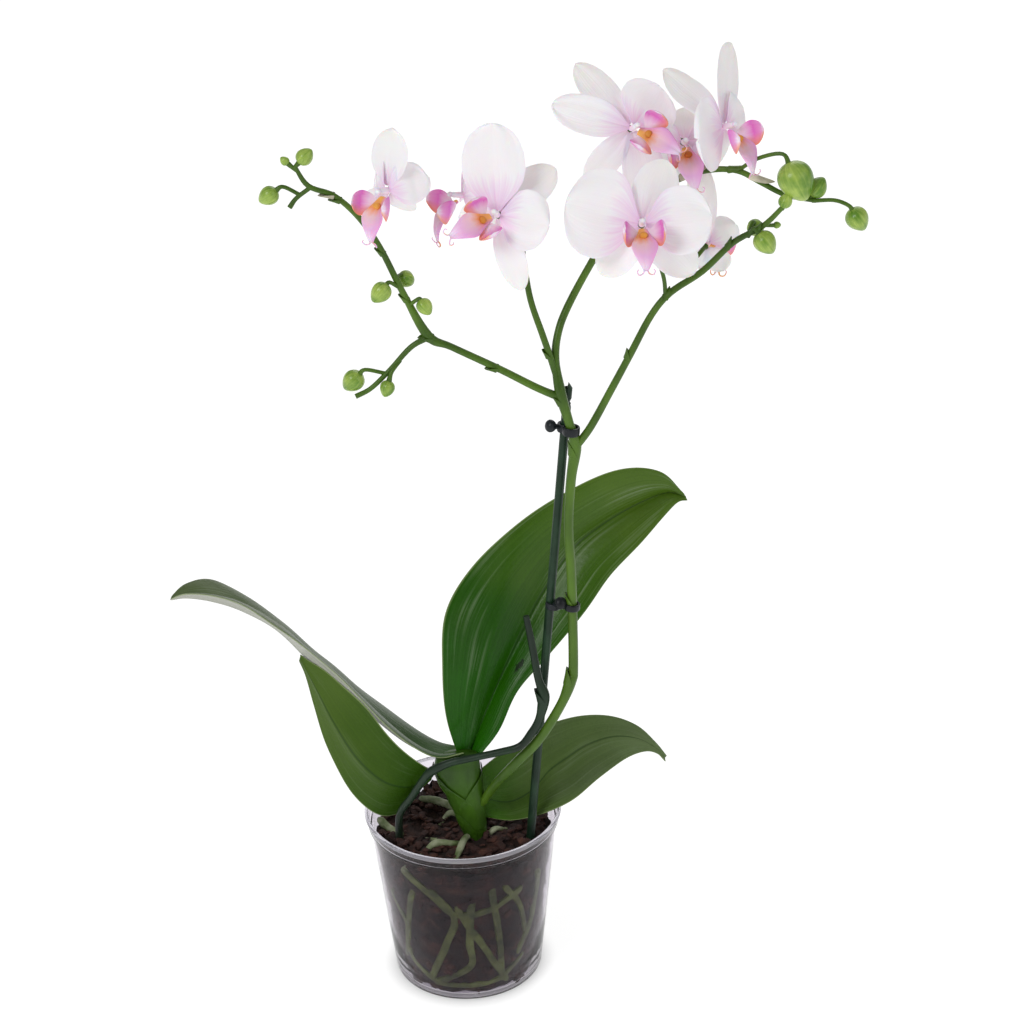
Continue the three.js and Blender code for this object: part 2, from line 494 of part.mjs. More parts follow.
// The lip: a tongue that runs forward and down, with a raised wing on each side.
function lip(spec) {
  const frame = bloomFrame(spec)
    .multiply(new THREE.Matrix4().makeRotationZ(THREE.MathUtils.degToRad(spec.lipTurn)))
    .scale(new THREE.Vector3(LIP_SCALE, LIP_SCALE, LIP_SCALE));
  const rows = (points) => points.map(([centre, half, dish]) => [-1, 0, 1].map((v) => vec(centre)
    .addScaledVector(vec(half), v)
    .addScaledVector(vec(dish), v * v)
    .applyMatrix4(frame)));
  const tongue = blade(rows([
    [[0, -1.7, 2.6], [1.5, 0, 0], [0, -0.2, 0]],
    [[0, -5, 6.2], [2.8, 0, 0], [0, 0.6, 0.5]],
    [[0, -9.4, 10.2], [5.4, 0, 0], [0, 1.4, -0.6]],
    [[0, -13.6, 11.4], [4.2, 0, 0], [0, 0.9, -0.8]],
    [[0, -17.4, 10.4], [1.2, 0, 0], [0, 0, 0]],
  ]), 1.1);
  const wing = (s) => blade(rows([
    [[s * 1.2, -4.6, 4.2], [0, -1.2, 0.6], [0, 0, 0]],
    [[s * 4.2, -4.2, 5.8], [0, -3.3, 1.2], [-s * 0.4, 0, 0]],
    [[s * 6.9, -3.8, 8.2], [0, -4.8, 0.8], [-s * 0.9, 0, 0]],
    [[s * 7.8, -3.2, 11], [0, -3.6, 0], [-s * 0.9, 0, 0]],
    [[s * 7, -2.8, 12.8], [0, -1.2, 0], [-s * 0.3, 0, 0]],
  ]), 0.9);
  return join([tongue, wing(1), wing(-1)]);
}

// A clip: two rings round stake and spike, a short barrel between them and a round grip.
function clip({ stakeAt, stemAt, along, grip, height }) {
  const axis = vec(along).normalize();
  const ring = (centre, radius) => {
    const band = new THREE.CylinderGeometry(radius, radius, height, 9);
    band.applyQuaternion(new THREE.Quaternion().setFromUnitVectors(new THREE.Vector3(0, 1, 0), axis));
    band.translate(...centre);
    return toSolid(band);
  };
  const between = stem([[...stakeAt, 2.2], [...stemAt, 2.2]], { sides: 4 });
  const handle = join([stem([[...stakeAt, 1.7], [...grip, 1.7]], { sides: 4 }), ball(grip, 3.7, 7, 4)]);
  return cut(join([ring(stakeAt, STAKE.radius + 1.9), ring(stemAt, 5), between, handle]), [stakeSolid(GAP), spikeSolid(GAP)]);
}

const plant = new THREE.Group();
plant.name = 'potted_orchid';

function addPiece(name, solid, material, parent = plant) {
  const mesh = new THREE.Mesh(toGeometry(solid), material);
  mesh.name = name;
  parent.add(mesh);
}

const inside = fill(112, [], false);
const roots = rootSolid(0).intersect(inside);
const crown = crownSolid(0);
const crownRoom = crownSolid(GAP);

addPiece('pot', pot(), finishes.pot);
addPiece('growing_medium', cut(fill(MEDIUM_TOP, [], true),
  [rootSolid(GAP), crownRoom, stakeSolid(GAP), cutSpikeSolid(GAP)]), finishes.medium);
addPiece('roots', cut(roots, [crownRoom, stakeSolid(GAP), cutSpikeSolid(GAP)]), finishes.root);
addPiece('stem_crown', crown, finishes.stem);

const leafRoom = [crownRoom, cutSpikeSolid(GAP), spikeSolid(GAP)];
for (const [name, leaf] of Object.entries(LEAVES)) {
  const rows = leafRows(leaf);
  addPiece(name, cut(blade(rows, leaf.thickness), leafRoom), finishes.leaf);
  leafRoom.push(blade(rows, leaf.thickness, GAP));
}

addPiece('flower_spike', cut(spikeSolid(0), [crownRoom]), finishes.stem);
addPiece('cut_spike', cutSpikeSolid(0), finishes.cutStem);
addPiece('stake', stakeSolid(0), finishes.stake);
addPiece('clip_lower', clip({
  stakeAt: [58, -9.6, 257], stemAt: [69, -17.2, 260], along: [35, 12, 356], grip: [62.5, -18.5, 263], height: 4 }), finishes.clip);
addPiece('clip_upper', clip({
  stakeAt: [67.4, -4.5, 370], stemAt: [70.8, -13.2, 372], along: [35, 12, 356], grip: [59, -8.5, 373], height: 5 }), finishes.clip);

for (const [name, spec] of Object.entries(BLOOMS)) {
  const group = new THREE.Group();
  group.name = `${name}_whole`;
  addPiece(name, bloom(spec), finishes.petal, group);
  addPiece(`${name}_lip`, lip(spec), finishes.lip, group);
  plant.add(group);
}

export default plant;
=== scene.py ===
# A moth orchid in a clear nursery pot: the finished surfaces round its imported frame.
import random
from functools import partial
from math import acos, atan2, copysign, cos, exp, hypot, pi, radians, sin, sqrt

import bpy
from mathutils import Matrix, Vector, noise


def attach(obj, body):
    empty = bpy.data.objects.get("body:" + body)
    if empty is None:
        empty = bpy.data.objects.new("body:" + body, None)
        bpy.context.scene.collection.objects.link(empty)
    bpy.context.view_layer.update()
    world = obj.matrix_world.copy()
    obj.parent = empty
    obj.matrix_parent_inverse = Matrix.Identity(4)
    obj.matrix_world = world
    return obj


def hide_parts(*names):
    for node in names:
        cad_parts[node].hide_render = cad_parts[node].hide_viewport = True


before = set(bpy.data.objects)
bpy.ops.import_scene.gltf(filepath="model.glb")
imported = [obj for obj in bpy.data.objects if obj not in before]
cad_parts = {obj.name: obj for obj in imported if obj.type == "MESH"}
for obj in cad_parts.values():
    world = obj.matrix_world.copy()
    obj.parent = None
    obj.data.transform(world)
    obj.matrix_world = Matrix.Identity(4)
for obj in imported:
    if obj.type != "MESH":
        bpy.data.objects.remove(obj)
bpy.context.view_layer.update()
random.seed(11)
mm = 0.001


def rgb(hexColour):  # sRGB hex to linear
    parts = [int(hexColour[i:i + 2], 16) / 255 for i in (1, 3, 5)]
    linear = [c / 12.92 if c <= 0.04045 else ((c + 0.055) / 1.055) ** 2.4 for c in parts]
    return (*linear, 1.0)


def addNode(tree, kind, inputs=None, stops=None, out=None, **settings):  # gives the output named, or the first in use
    node = tree.nodes.new("ShaderNode" + kind)
    for key, value in settings.items():
        setattr(node, key, value)
    for key, value in (inputs or {}).items():
        if isinstance(value, bpy.types.NodeSocket):
            tree.links.new(value, node.inputs[key])
        else:
            node.inputs[key].default_value = value
    for i, (place, colour) in enumerate(stops or []):
        elements = node.color_ramp.elements
        element = elements[i] if i < 2 else elements.new(place)
        element.position = place
        element.color = rgb(colour)
    return node.outputs[out] if out else next(socket for socket in node.outputs if socket.enabled)


def newMaterial(name, **shaderValues):
    material = bpy.data.materials.new(name)
    material.use_nodes = True
    shader = material.node_tree.nodes["Principled BSDF"]
    for key, value in shaderValues.items():
        shader.inputs[key.replace("_", " ")].default_value = value
    return material, partial(addNode, material.node_tree), shader


def wire(shader, **sockets):  # links each socket to the shader's input of that name
    for key, socket in sockets.items():
        shader.id_data.links.new(socket, shader.inputs[key.replace("_", " ")])


def deselect():
    bpy.ops.object.select_all(action="DESELECT")


def selectOnly(*pieces):  # the first one becomes the active one
    deselect()
    for piece in pieces:
        piece.select_set(True)
    bpy.context.view_layer.objects.active = pieces[0]


def splineAt(points, t):  # a uniform Catmull-Rom spline through the points, t from 0 to 1
    last = len(points) - 1
    span = min(int(t * last), last - 1)
    w = t * last - span
    a, b = Vector(points[span]), Vector(points[span + 1])
    before = Vector(points[span - 1]) if span > 0 else 2 * a - b
    after = Vector(points[span + 2]) if span + 2 <= last else 2 * b - a
    return 0.5 * (2 * a + (b - before) * w + (2 * before - 5 * a + 4 * b - after) * w * w
                  + (3 * a - before - 3 * b + after) * w ** 3)


def shaped(name, place):  # each vertex of the new primitive goes to its place in millimetres
    piece = bpy.context.object
    piece.name = name
    for vertex in piece.data.vertices:
        vertex.co = place(vertex.co.copy()) * mm
    return piece


def shapedGrid(name, across, along, place):  # place(u, v) from 0 to 1
    deselect()
    bpy.ops.mesh.primitive_grid_add(x_subdivisions=across, y_subdivisions=along, size=1)
    return shaped(name, lambda p: place(p.x + 0.5, p.y + 0.5))


def shapedBall(name, segments, rings, place):  # place(p) of each vertex of a unit sphere
    deselect()
    bpy.ops.mesh.primitive_uv_sphere_add(segments=segments, ring_count=rings, radius=1)
    return shaped(name, place)


def routeAt(route, t):  # the spline's place and an eased radius
    place = splineAt([p[:3] for p in route], t)
    last = len(route) - 1
    span = min(int(t * last), last - 1)
    w = t * last - span
    w = w * w * (3 - 2 * w)
    return (*place, route[span][3] * (1 - w) + route[span + 1][3] * w)


def tubes(name, routes, roundness=4, detail=5):  # routes of x, y, z and radius in millimetres
    deselect()
    bpy.ops.curve.primitive_bezier_curve_add()
    piece = bpy.context.object
    piece.name = name
    curve = piece.data
    curve.splines.clear()
    curve.bevel_depth = mm
    curve.bevel_resolution = roundness
    curve.use_fill_caps = True
    for route in routes:
        count = (len(route) - 1) * detail
        spline = curve.splines.new("POLY")
        spline.points.add(count)
        for i, point in enumerate(spline.points):
            x, y, z, radius = routeAt(route, i / count)
            point.co = (x * mm, y * mm, z * mm, 1)
            point.radius = radius
    bpy.ops.object.convert(target="MESH")
    return bpy.context.object


def applyModifiers(piece):
    selectOnly(piece)
    for modifier in list(piece.modifiers):
        bpy.ops.object.modifier_apply(modifier=modifier.name)


def joinPieces(name, pieces):
    selectOnly(*pieces)
    if len(pieces) > 1:
        bpy.ops.object.join()
    pieces[0].name = name
    pieces[0].data.name = name
    return pieces[0]


def thicken(piece, thickness, margin):
    # margin is the share of the thickness that is left at the piece's edge
    group = piece.vertex_groups.new(name="body")
    edge = {}
    for loop in piece.data.loops:
        u, v = piece.data.uv_layers[0].data[loop.index].uv
        off = max(abs(2 * u - 1), 2 * v - 1)
        edge[loop.vertex_index] = 1 - (1 - margin) * off ** 3
    for index, weight in edge.items():
        group.add([index], weight, "REPLACE")
    solid = piece.modifiers.new("thickness", "SOLIDIFY")
    solid.thickness = thickness * mm
    solid.offset = 0
    solid.vertex_group = "body"
    solid.thickness_vertex_group = 0
    solid.material_offset = 1 if len(piece.data.materials) > 1 else 0
    fine = piece.modifiers.new("smooth", "SUBSURF")
    fine.levels = fine.render_levels = 1
    applyModifiers(piece)
    return piece


def dress(piece, skin, slot, *nodes, angle=60):  # a piece that has its materials already is given no skin
    if skin:
        piece.data.materials.append(skins[skin])
    selectOnly(piece)
    bpy.ops.object.transform_apply(location=True, rotation=True, scale=True)
    bpy.ops.object.shade_smooth_by_angle(angle=radians(angle))
    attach(piece, "root")
    if nodes:
        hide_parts(*nodes)
    return piece


view = {  # the camera's place in millimetres, the lamps' in metres, turns in degrees
    "place": (35.8, -1538.9, 1122.1), "pitch": 62.3, "roll": -1.86, "lens": 105.47,
    "key": {"at": (-1.5, -1.7, 2.3), "size": 1.1, "power": 30},
    "fill": {"at": (2.2, -1.4, 1.6), "size": 1.6, "power": 9},
    "back": {"at": (0.6, 2.2, 1.9), "size": 1.5, "power": 12.5},
    "lightsMeet": (0.03, 0, 0.28),
    "horizon": "#ffffff", "sky": "#8c8d8e", "zenith": "#a2a2a1", "floor": "#9c9c9c", "floorGlow": 0.86,
}


def addCamera():
    bpy.ops.object.camera_add(location=Vector(view["place"]) * mm)
    camera = bpy.context.object
    turn = Matrix.Rotation(radians(view["pitch"]), 4, "X") @ Matrix.Rotation(radians(view["roll"]), 4, "Z")
    camera.rotation_euler = turn.to_euler()
    camera.data.lens = view["lens"]
    camera.data.sensor_width = 36
    bpy.context.scene.camera = camera


def addLights():
    for name in ("key", "fill", "back"):
        lamp = view[name]
        bpy.ops.object.light_add(type="AREA", location=lamp["at"])
        light = bpy.context.object
        light.name = name
        light.data.size = lamp["size"]
        light.data.energy = lamp["power"]
        light.rotation_euler = (Vector(view["lightsMeet"]) - Vector(lamp["at"])).to_track_quat("-Z", "Y").to_euler()
    world = bpy.data.worlds.new("white studio")
    world.use_nodes = True
    add = partial(addNode, world.node_tree)
    way = add("SeparateXYZ", {"Vector": add("TexCoord", out="Generated")}, out="Z")
    stops = [(0.03, view["horizon"]), (0.8, view["zenith"]), (0.16, view["sky"])]
    sky = add("ValToRGB", {"Fac": way}, stops)
    wire(world.node_tree.nodes["Background"], Color=sky)
    bpy.context.scene.world = world
    bpy.context.scene.view_settings.view_transform = "Standard"


def addFloor():
    deselect()
    bpy.ops.mesh.primitive_plane_add(size=14)
    floor = bpy.context.object
    floor.name = "studio_floor"
    material, add, shader = newMaterial("white paper", Roughness=0.9)
    shader.inputs["Base Color"].default_value = rgb(view["floor"])
    shader.inputs["Emission Color"].default_value = rgb("#ffffff")
    # the floor's glow is dimmed under the pot as a painted contact shadow
    reach = add("VectorMath", {0: add("TexCoord", out="Object")}, operation="LENGTH")
    glowWithPaintedShadow = add("MapRange", {"Value": reach, "From Min": 0.034, "From Max": 0.056,
                            "To Min": view["floorGlow"] * 0.25, "To Max": view["floorGlow"]},
               interpolation_type="SMOOTHSTEP")  # painted contact shadow: the paper's glow fades to a quarter under and round the pot's foot
    wire(shader, Emission_Strength=glowWithPaintedShadow)
    floor.data.materials.append(material)


addCamera()
addLights()
addFloor()
print("camera, lights and floor made")


def mottled(name, stops, patch, grain, strength, depth, squash=1.0, **values):
    # broad patches break up the colour and a fine grain the surface, each as scale and detail of its noise
    material, add, shader = newMaterial(name, **values)
    where = add("TexCoord", out="Object")
    pressed = add("Mapping", {"Vector": where, "Scale": (1.0, 1.0, squash)})
    cloud = add("TexNoise", {"Vector": pressed, "Scale": patch[0], "Detail": patch[1]})
    speck = add("TexNoise", {"Vector": where, "Scale": grain[0], "Detail": grain[1]})
    wire(shader, Base_Color=add("ValToRGB", {"Fac": cloud}, stops),
         Normal=add("Bump", {"Height": speck, "Strength": strength, "Distance": depth}))
    return material, add, shader, cloud


def clearPlastic(name, tints, clear, rough, index):
    # moulded polypropylene: clear where it is thin, milky where it is thick, with a soft gloss and a lilac cast
    material, add, shader, cloud = mottled(
        name, [(0.3, tints[0]), (0.7, tints[1])], (38.0, 4.0), (160.0, 2.0), 0.08, 0.0004,
        Roughness=rough, IOR=index, Transmission_Weight=clear, Specular_IOR_Level=0.3)
    wire(shader, Roughness=add("MapRange", {"Value": cloud, "To Min": rough * 0.6, "To Max": rough * 1.5}))
    return material


def stemSkin(name, dark, light, roughness=0.42):
    # smooth waxy stem: faint lengthwise mottling and a soft shine
    return mottled(name, [(0.3, dark), (0.7, light)], (75.0, 5.0), (700.0, 2.0), 0.2, 0.0003, 0.35,
                   Roughness=roughness, Coat_Weight=0.1, Coat_Roughness=0.3, Specular_IOR_Level=0.28)[0]


def moulded(name, dark, light, roughness):
    # injection-moulded plastic: even colour, fine orange-peel grain and a soft highlight
    return mottled(name, [(0.35, dark), (0.75, light)], (60.0, 5.0), (520.0, 3.0), 0.15, 0.0003,
                   Roughness=roughness, IOR=1.49, Specular_IOR_Level=0.3)[0]


def damp(name, dark, mid, light, roughness):
    # composted bark and coir: fibrous, damp and dark, with paler broken edges
    material, add, shader = newMaterial(name, Roughness=roughness)
    where = add("TexCoord", out="Object")
    coarse = add("TexNoise", {"Vector": where, "Scale": 110.0, "Detail": 8.0, "Roughness": 0.65})
    fine = add("TexNoise", {"Vector": where, "Scale": 900.0, "Detail": 4.0})
    height = add("Math", {0: coarse, 1: fine}, operation="ADD")
    wire(shader, Base_Color=add("ValToRGB", {"Fac": coarse}, [(0.32, dark), (0.72, light), (0.52, mid)]),
         Normal=add("Bump", {"Height": height, "Strength": 0.8, "Distance": 0.0012}))
    return material


def rootSkin():
    # velamen: silvery where it is dry above the bark, olive green where it is wet inside the pot
    material, add, shader = newMaterial("orchid root velamen", Roughness=0.55)
    where = add("TexCoord", out="Object")
    high = add("SeparateXYZ", {"Vector": where}, out="Z")
    mottle = add("TexNoise", {"Vector": where, "Scale": 130.0, "Detail": 5.0})
    raised = add("Math", {0: mottle, 1: 0.012, 2: high}, operation="MULTIPLY_ADD")
    dry = add("MapRange", {"Value": raised, "From Min": 0.099, "From Max": 0.106})
    wet = add("ValToRGB", {"Fac": mottle}, [(0.3, "#3c471a"), (0.7, "#6c7a38")])
    pale = add("ValToRGB", {"Fac": mottle}, [(0.35, "#5f6f42"), (0.65, "#a3a98a")])
    wire(shader, Base_Color=add("Mix", {0: dry, 6: wet, 7: pale}, data_type="RGBA"),
         Normal=add("Bump", {"Height": mottle, "Strength": 0.35, "Distance": 0.0006}))
    return material


# waxy sets how strong the patches of painted grey sheen are
def leafSkin(name, foot, blade, tip, waxy=0.0, roughness=0.36, coat=0.1, veined=0.3, ribWide=0.02, scar=None):
    # thick waxy blade: parallel veins from foot to tip, painted shade as a dark line at the midrib, a painted
    # highlight as a pale line along the margins and patches of painted grey sheen
    material, add, shader = newMaterial(name, Roughness=roughness, Coat_Weight=coat, Coat_Roughness=0.18,
                                         Specular_IOR_Level=0.12)
    uv = add("TexCoord", out="UV")
    where = add("TexCoord", out="Object")
    across = add("SeparateXYZ", {"Vector": uv}, out="X")
    along = add("SeparateXYZ", {"Vector": uv}, out="Y")
    grain = add("Mapping", {"Vector": uv, "Scale": (38.0, 1.2, 1.0)})
    veins = add("TexNoise", {"Vector": grain, "Scale": 1.0, "Detail": 6.0, "Roughness": 0.65})
    blotch = add("TexNoise", {"Vector": where, "Scale": 20.0, "Detail": 3.0})
    sway = add("Math", {0: blotch, 1: 0.5, 2: along}, operation="MULTIPLY_ADD")
    green = add("ValToRGB", {"Fac": sway}, [(0.3, foot), (1.15, tip), (0.55, blade)])
    veinShade = add("ValToRGB", {"Fac": veins}, [(0.36, "#a9b3a2"), (0.62, "#ffffff")])
    colour = add("Mix", {0: veined, 6: green, 7: veinShade}, data_type="RGBA", blend_type="MULTIPLY")
    # patches of painted grey sheen, streaked along the veins
    cloudy = add("Mapping", {"Vector": uv, "Scale": (4.0, 3.0, 1.0)})
    patch = add("TexNoise", {"Vector": cloudy, "Scale": 1.0, "Detail": 2.0})
    sheenStreaks = add("Math", {0: patch, 1: veins}, operation="MULTIPLY")
    offMid = add("Math", {0: across, 1: 0.5}, operation="SUBTRACT")
    distance = add("Math", {0: offMid}, operation="ABSOLUTE")
    layers = [  # what lies over the green: its colour, what places it, from and to where, and how strong it is there
        # the first layer is the painted grey sheen, the second is painted shade as a dark line along the midrib
        ("#9dac90", sheenStreaks, 0.27, 0.42, 0.0, waxy), ("#16330c", distance, ribWide * 0.25, ribWide, 0.6, 0.0),
        # a painted highlight as a pale line along each margin
        ("#93a56e", distance, 0.485, 0.498, 0.0, 0.7)]
    if scar:  # a small dark scar, at its place across and along the blade
        moved = add("VectorMath", {0: uv, 1: (*scar, 0.0)}, operation="SUBTRACT")
        spread = add("Mapping", {"Vector": moved, "Scale": (16.0, 34.0, 1.0)})
        ragged = add("TexNoise", {"Vector": where, "Scale": 420.0, "Detail": 3.0})
        far = add("VectorMath", {0: spread}, operation="LENGTH")
        torn = add("Math", {0: ragged, 1: 1.6, 2: far}, operation="MULTIPLY_ADD")
        layers.append(("#0c1a08", torn, 1.25, 1.6, 0.9, 0.0))
    for tint, measure, start, end, low, high in layers:
        share = add("MapRange", {"Value": measure, "From Min": start, "From Max": end, "To Min": low, "To Max": high})
        colour = add("Mix", {0: share, 6: colour, 7: rgb(tint)}, data_type="RGBA")
    gloss = add("MapRange", {"Value": veins, "From Min": 0.3, "From Max": 0.7,
                             "To Min": roughness - 0.08, "To Max": roughness + 0.12})
    fine = add("TexNoise", {"Vector": where, "Scale": 420.0, "Detail": 2.0})
    height = add("Math", {0: veins, 1: fine}, operation="ADD")
    wire(shader, Base_Color=colour, Roughness=gloss,
         Normal=add("Bump", {"Height": height, "Strength": 0.35, "Distance": 0.0008}))
    return material


def streaked(name, grain, strength, depth, **values):  # fine streaks that run along the piece's own UV map
    material, add, shader = newMaterial(name, **values)
    uv = add("TexCoord", out="UV")
    lines = add("Mapping", {"Vector": uv, "Scale": grain})
    streak = add("TexNoise", {"Vector": lines, "Scale": 1.0, "Detail": 4.0})
    wire(shader, Normal=add("Bump", {"Height": streak, "Strength": strength, "Distance": depth}))
    return material, add, shader, uv, streak


def petalSkin(name, flush, body, tip, spread):
    # soft thin petal: near-white, flushed at its foot, with veins that fan out from there
    material, add, shader, uv, veins = streaked(
        name, (22.0, 1.3, 1.0), 0.3, 0.0006,
        Roughness=0.62, Subsurface_Weight=0.25, Subsurface_Scale=0.004, Sheen_Weight=0.15)
    along = add("SeparateXYZ", {"Vector": uv}, out="Y")
    reach = add("Math", {0: veins, 1: 0.35, 2: along}, operation="MULTIPLY_ADD")
    wire(shader, Base_Color=add("ValToRGB", {"Fac": reach}, [(0.14, flush), (1.0, tip), (spread, body)]))
    return material


def lipSkin(name, stops, edge):
    # a waxy lip: colours run from the throat outwards, broken into streaks, with another colour at its margins
    material, add, shader, uv, streak = streaked(
        name, (7.0, 1.6, 1.0), 0.25, 0.0005,
        Roughness=0.48, Subsurface_Weight=0.2, Subsurface_Scale=0.003, Sheen_Weight=0.1)
    across = add("SeparateXYZ", {"Vector": uv}, out="X")
    along = add("SeparateXYZ", {"Vector": uv}, out="Y")
    reach = add("Math", {0: streak, 1: 0.24, 2: along}, operation="MULTIPLY_ADD")
    colour = add("ValToRGB", {"Fac": reach}, stops)
    rim = add("MapRange", {"Value": across, "From Min": 0.55, "From Max": 1.0, "To Max": 0.9})
    wire(shader, Base_Color=add("Mix", {0: rim, 6: colour, 7: rgb(edge)}, data_type="RGBA"))
    return material


def budSkin(name, dark, light):
    # waxy closed sepals: fine lengthwise streaks and a soft shine
    material, add, shader, uv, streak = streaked(
        name, (30.0, 1.6, 1.0), 0.25, 0.0004,
        Roughness=0.32, Coat_Weight=0.2, Coat_Roughness=0.2, Specular_IOR_Level=0.35)
    where = add("TexCoord", out="Object")
    cloud = add("TexNoise", {"Vector": where, "Scale": 90.0, "Detail": 3.0})
    both = add("Math", {0: streak, 1: 0.6, 2: cloud}, operation="MULTIPLY_ADD")
    wire(shader, Base_Color=add("ValToRGB", {"Fac": both}, [(0.62, dark), (0.98, light)]))
    return material


skins = {
    "pot": clearPlastic("moulded clear polypropylene", ("#d9d3dd", "#e8e3ea"), 1.0, 0.06, 1.2),
    "rim": clearPlastic("moulded polypropylene, thick rim", ("#dcdae6", "#eeecf4"), 0.72, 0.16, 1.33),
    "bark": damp("composted bark", "#120807", "#2a1611", "#503126", 0.85),
    "chip": damp("bark chips", "#1a0c0a", "#3c1f18", "#603a2c", 0.8),
    "root": rootSkin(),
    "crown": stemSkin("leaf sheath", "#1b3805", "#40680f"),
    "spike": stemSkin("green flower spike", "#324f0f", "#53751d"),
    "old": stemSkin("old flower spike", "#101d13", "#1f3622", 0.45),
    "bud": budSkin("orchid bud", "#5c8722", "#a6bf57"),
    "bract": stemSkin("papery bract", "#8d8a72", "#cfcab4", 0.7),
    "glossy": leafSkin("glossy leaf, upper side", "#236604", "#245404", "#4e6c1e", 0.42, 0.28, 0.1, scar=(0.7, 0.28)),
    "dull": leafSkin("waxy leaf, upper side", "#3a6609", "#4c6628", "#64774c", 0.18, 0.38, 0.05),
    "leafUnder": leafSkin("leaf underside", "#2c5002", "#2d4e02", "#4a6420", 0.1, 0.5, 0.0, 0.2),
    "darkUpper": leafSkin("long leaf, upper side", "#2b5606", "#2d4d0c", "#5c6c44", 0.25, 0.36, 0.06),
    "smooth": leafSkin("smooth leaf, upper side", "#2c5002", "#2d4e02", "#4a6420", 0.12, 0.4, 0.05, 0.2),
    "silvery": leafSkin("leaf underside, silvery", "#6f7f58", "#b3b4ab", "#bcbcb2", 0.2, 0.45, 0.1, 0.8, 0.045),
    "petal": petalSkin("white petal", "#f0c6ea", "#fbf5fb", "#fbf7fb", 0.42),
    "sepal": petalSkin("white sepal", "#f4dcee", "#faf5fa", "#faf6f4", 0.4),
    "tongue": lipSkin("lip, middle lobe", [(0.12, "#f8bd5a"), (1.05, "#f4dcf2"), (0.4, "#f3a062"), (0.54, "#f3cbd2"),
                                           (0.78, "#ecb9e4")], "#e8a0dc"),
    "wing": lipSkin("lip, side lobe", [(0.1, "#f8eef6"), (1.05, "#f6e2f2"), (0.38, "#f2d2ea"), (0.62, "#e070cb"),
                                       (0.85, "#eaa2d8")], "#f0925a"),
    "callus": stemSkin("lip, crest", "#c46a24", "#f3b04c", 0.45),
    "column": petalSkin("flower column", "#f5d9a8", "#f6d6ee", "#ffffff", 0.5),
    "stake": moulded("green support rod", "#12281a", "#24422a", 0.45),
    "clip": moulded("black clip", "#0f1216", "#252b31", 0.38),
}
print("materials made")


potValues = {
    "sides": 128, "baseRadius": 45.6, "wallTop": (56.9, 104.5), "rimRadius": 60.0, "height": 113.6, "wall": 1.1,
    "floor": 3.4, "holes": 6, "holeRadius": 3.0, "holeRing": 30.0, "milkyFrom": 110.8,
}


def potProfile():  # outside from the base's middle to the rim, then inside down to the floor
    base, (topRadius, topHeight) = potValues["baseRadius"], potValues["wallTop"]
    rim, height = potValues["rimRadius"], potValues["height"]
    inner = topRadius - potValues["wall"]
    outside = [(20, 0), (21.2, 0.6), (22, 2.1), (37.5, 2.1), (38.6, 0.7), (39.5, 0), (42.6, 0), (44.1, 0.35),
               (45.1, 1.1), (base, 2.6), (base + 0.35, 6)]
    outside += [(base + (topRadius - base) * t, 2.2 + (topHeight - 2.2) * t) for t in (0.25, 0.5, 0.75, 0.97)]
    outside += [(topRadius + 0.1, topHeight), (58.2, 104.9), (58.5, 105.6), (58.6, 109.9), (59.1, 110.7),
                (rim - 0.2, 110.9), (rim, 111.4), (rim, 112.9), (rim - 0.5, height), (rim - 1.6, height)]
    inside = [(57.9, height - 0.4), (57.6, 112.6), (57.4, 106.6), (57.0, 105.9), (inner + 0.1, 104.6), (inner, 103.6)]
    inside += [(inner - (inner - base + 1.0) * t, 103.6 - 97.6 * t) for t in (0.33, 0.66, 1.0)]
    inside += [(43.9, 4.4), (42.4, potValues["floor"]), (20, potValues["floor"])]
    return outside, inside


def ringUp(radius, height, last):  # the selected ring is extruded to the next level of the profile
    bpy.ops.mesh.extrude_region_move(TRANSFORM_OT_translate={"value": (0, 0, (height - last[1]) * mm)})
    bpy.ops.transform.resize(value=(radius / last[0], radius / last[0], 1), center_override=(0, 0, height * mm))


def turnedShell(name, profile, sides):
    deselect()
    radius, height = profile[0]
    at = (0, 0, height * mm)
    bpy.ops.mesh.primitive_circle_add(vertices=sides, radius=radius * mm, location=at, fill_type="NGON")
    piece = bpy.context.object
    piece.name = name
    bpy.ops.object.transform_apply(location=True)
    bpy.ops.object.mode_set(mode="EDIT")
    bpy.ops.mesh.select_all(action="SELECT")
    last = profile[0]
    for radius, height in profile[1:]:
        ringUp(radius, height, last)
        last = (radius, height)
    bpy.ops.mesh.select_all(action="SELECT")
    bpy.ops.mesh.normals_make_consistent(inside=False)
    bpy.ops.object.mode_set(mode="OBJECT")
    return piece


def cutHoles(pot):
    ring, radius = potValues["holeRing"], potValues["holeRadius"]
    drills = []
    for i in range(potValues["holes"]):
        turn = 2 * pi * (i + 0.5) / potValues["holes"]
        deselect()
        at = (ring * cos(turn) * mm, ring * sin(turn) * mm, 2 * mm)
        bpy.ops.mesh.primitive_cylinder_add(vertices=24, radius=radius * mm, depth=10 * mm, location=at)
        drills.append(bpy.context.object)
    drill = joinPieces("drill", drills)
    hole = pot.modifiers.new("holes", "BOOLEAN")
    hole.object = drill
    hole.solver = "EXACT"
    applyModifiers(pot)
    bpy.data.objects.remove(drill)


def buildPot():
    outside, inside = potProfile()
    pot = turnedShell("clear_pot", outside + inside, potValues["sides"])
    cutHoles(pot)
    for skin in ("pot", "rim"):
        pot.data.materials.append(skins[skin])
    for face in pot.data.polygons:
        face.material_index = 1 if face.center.z > potValues["milkyFrom"] * mm else 0
    return dress(pot, None, "clear_plastic", "pot", angle=40)


buildPot()
print("pot made")


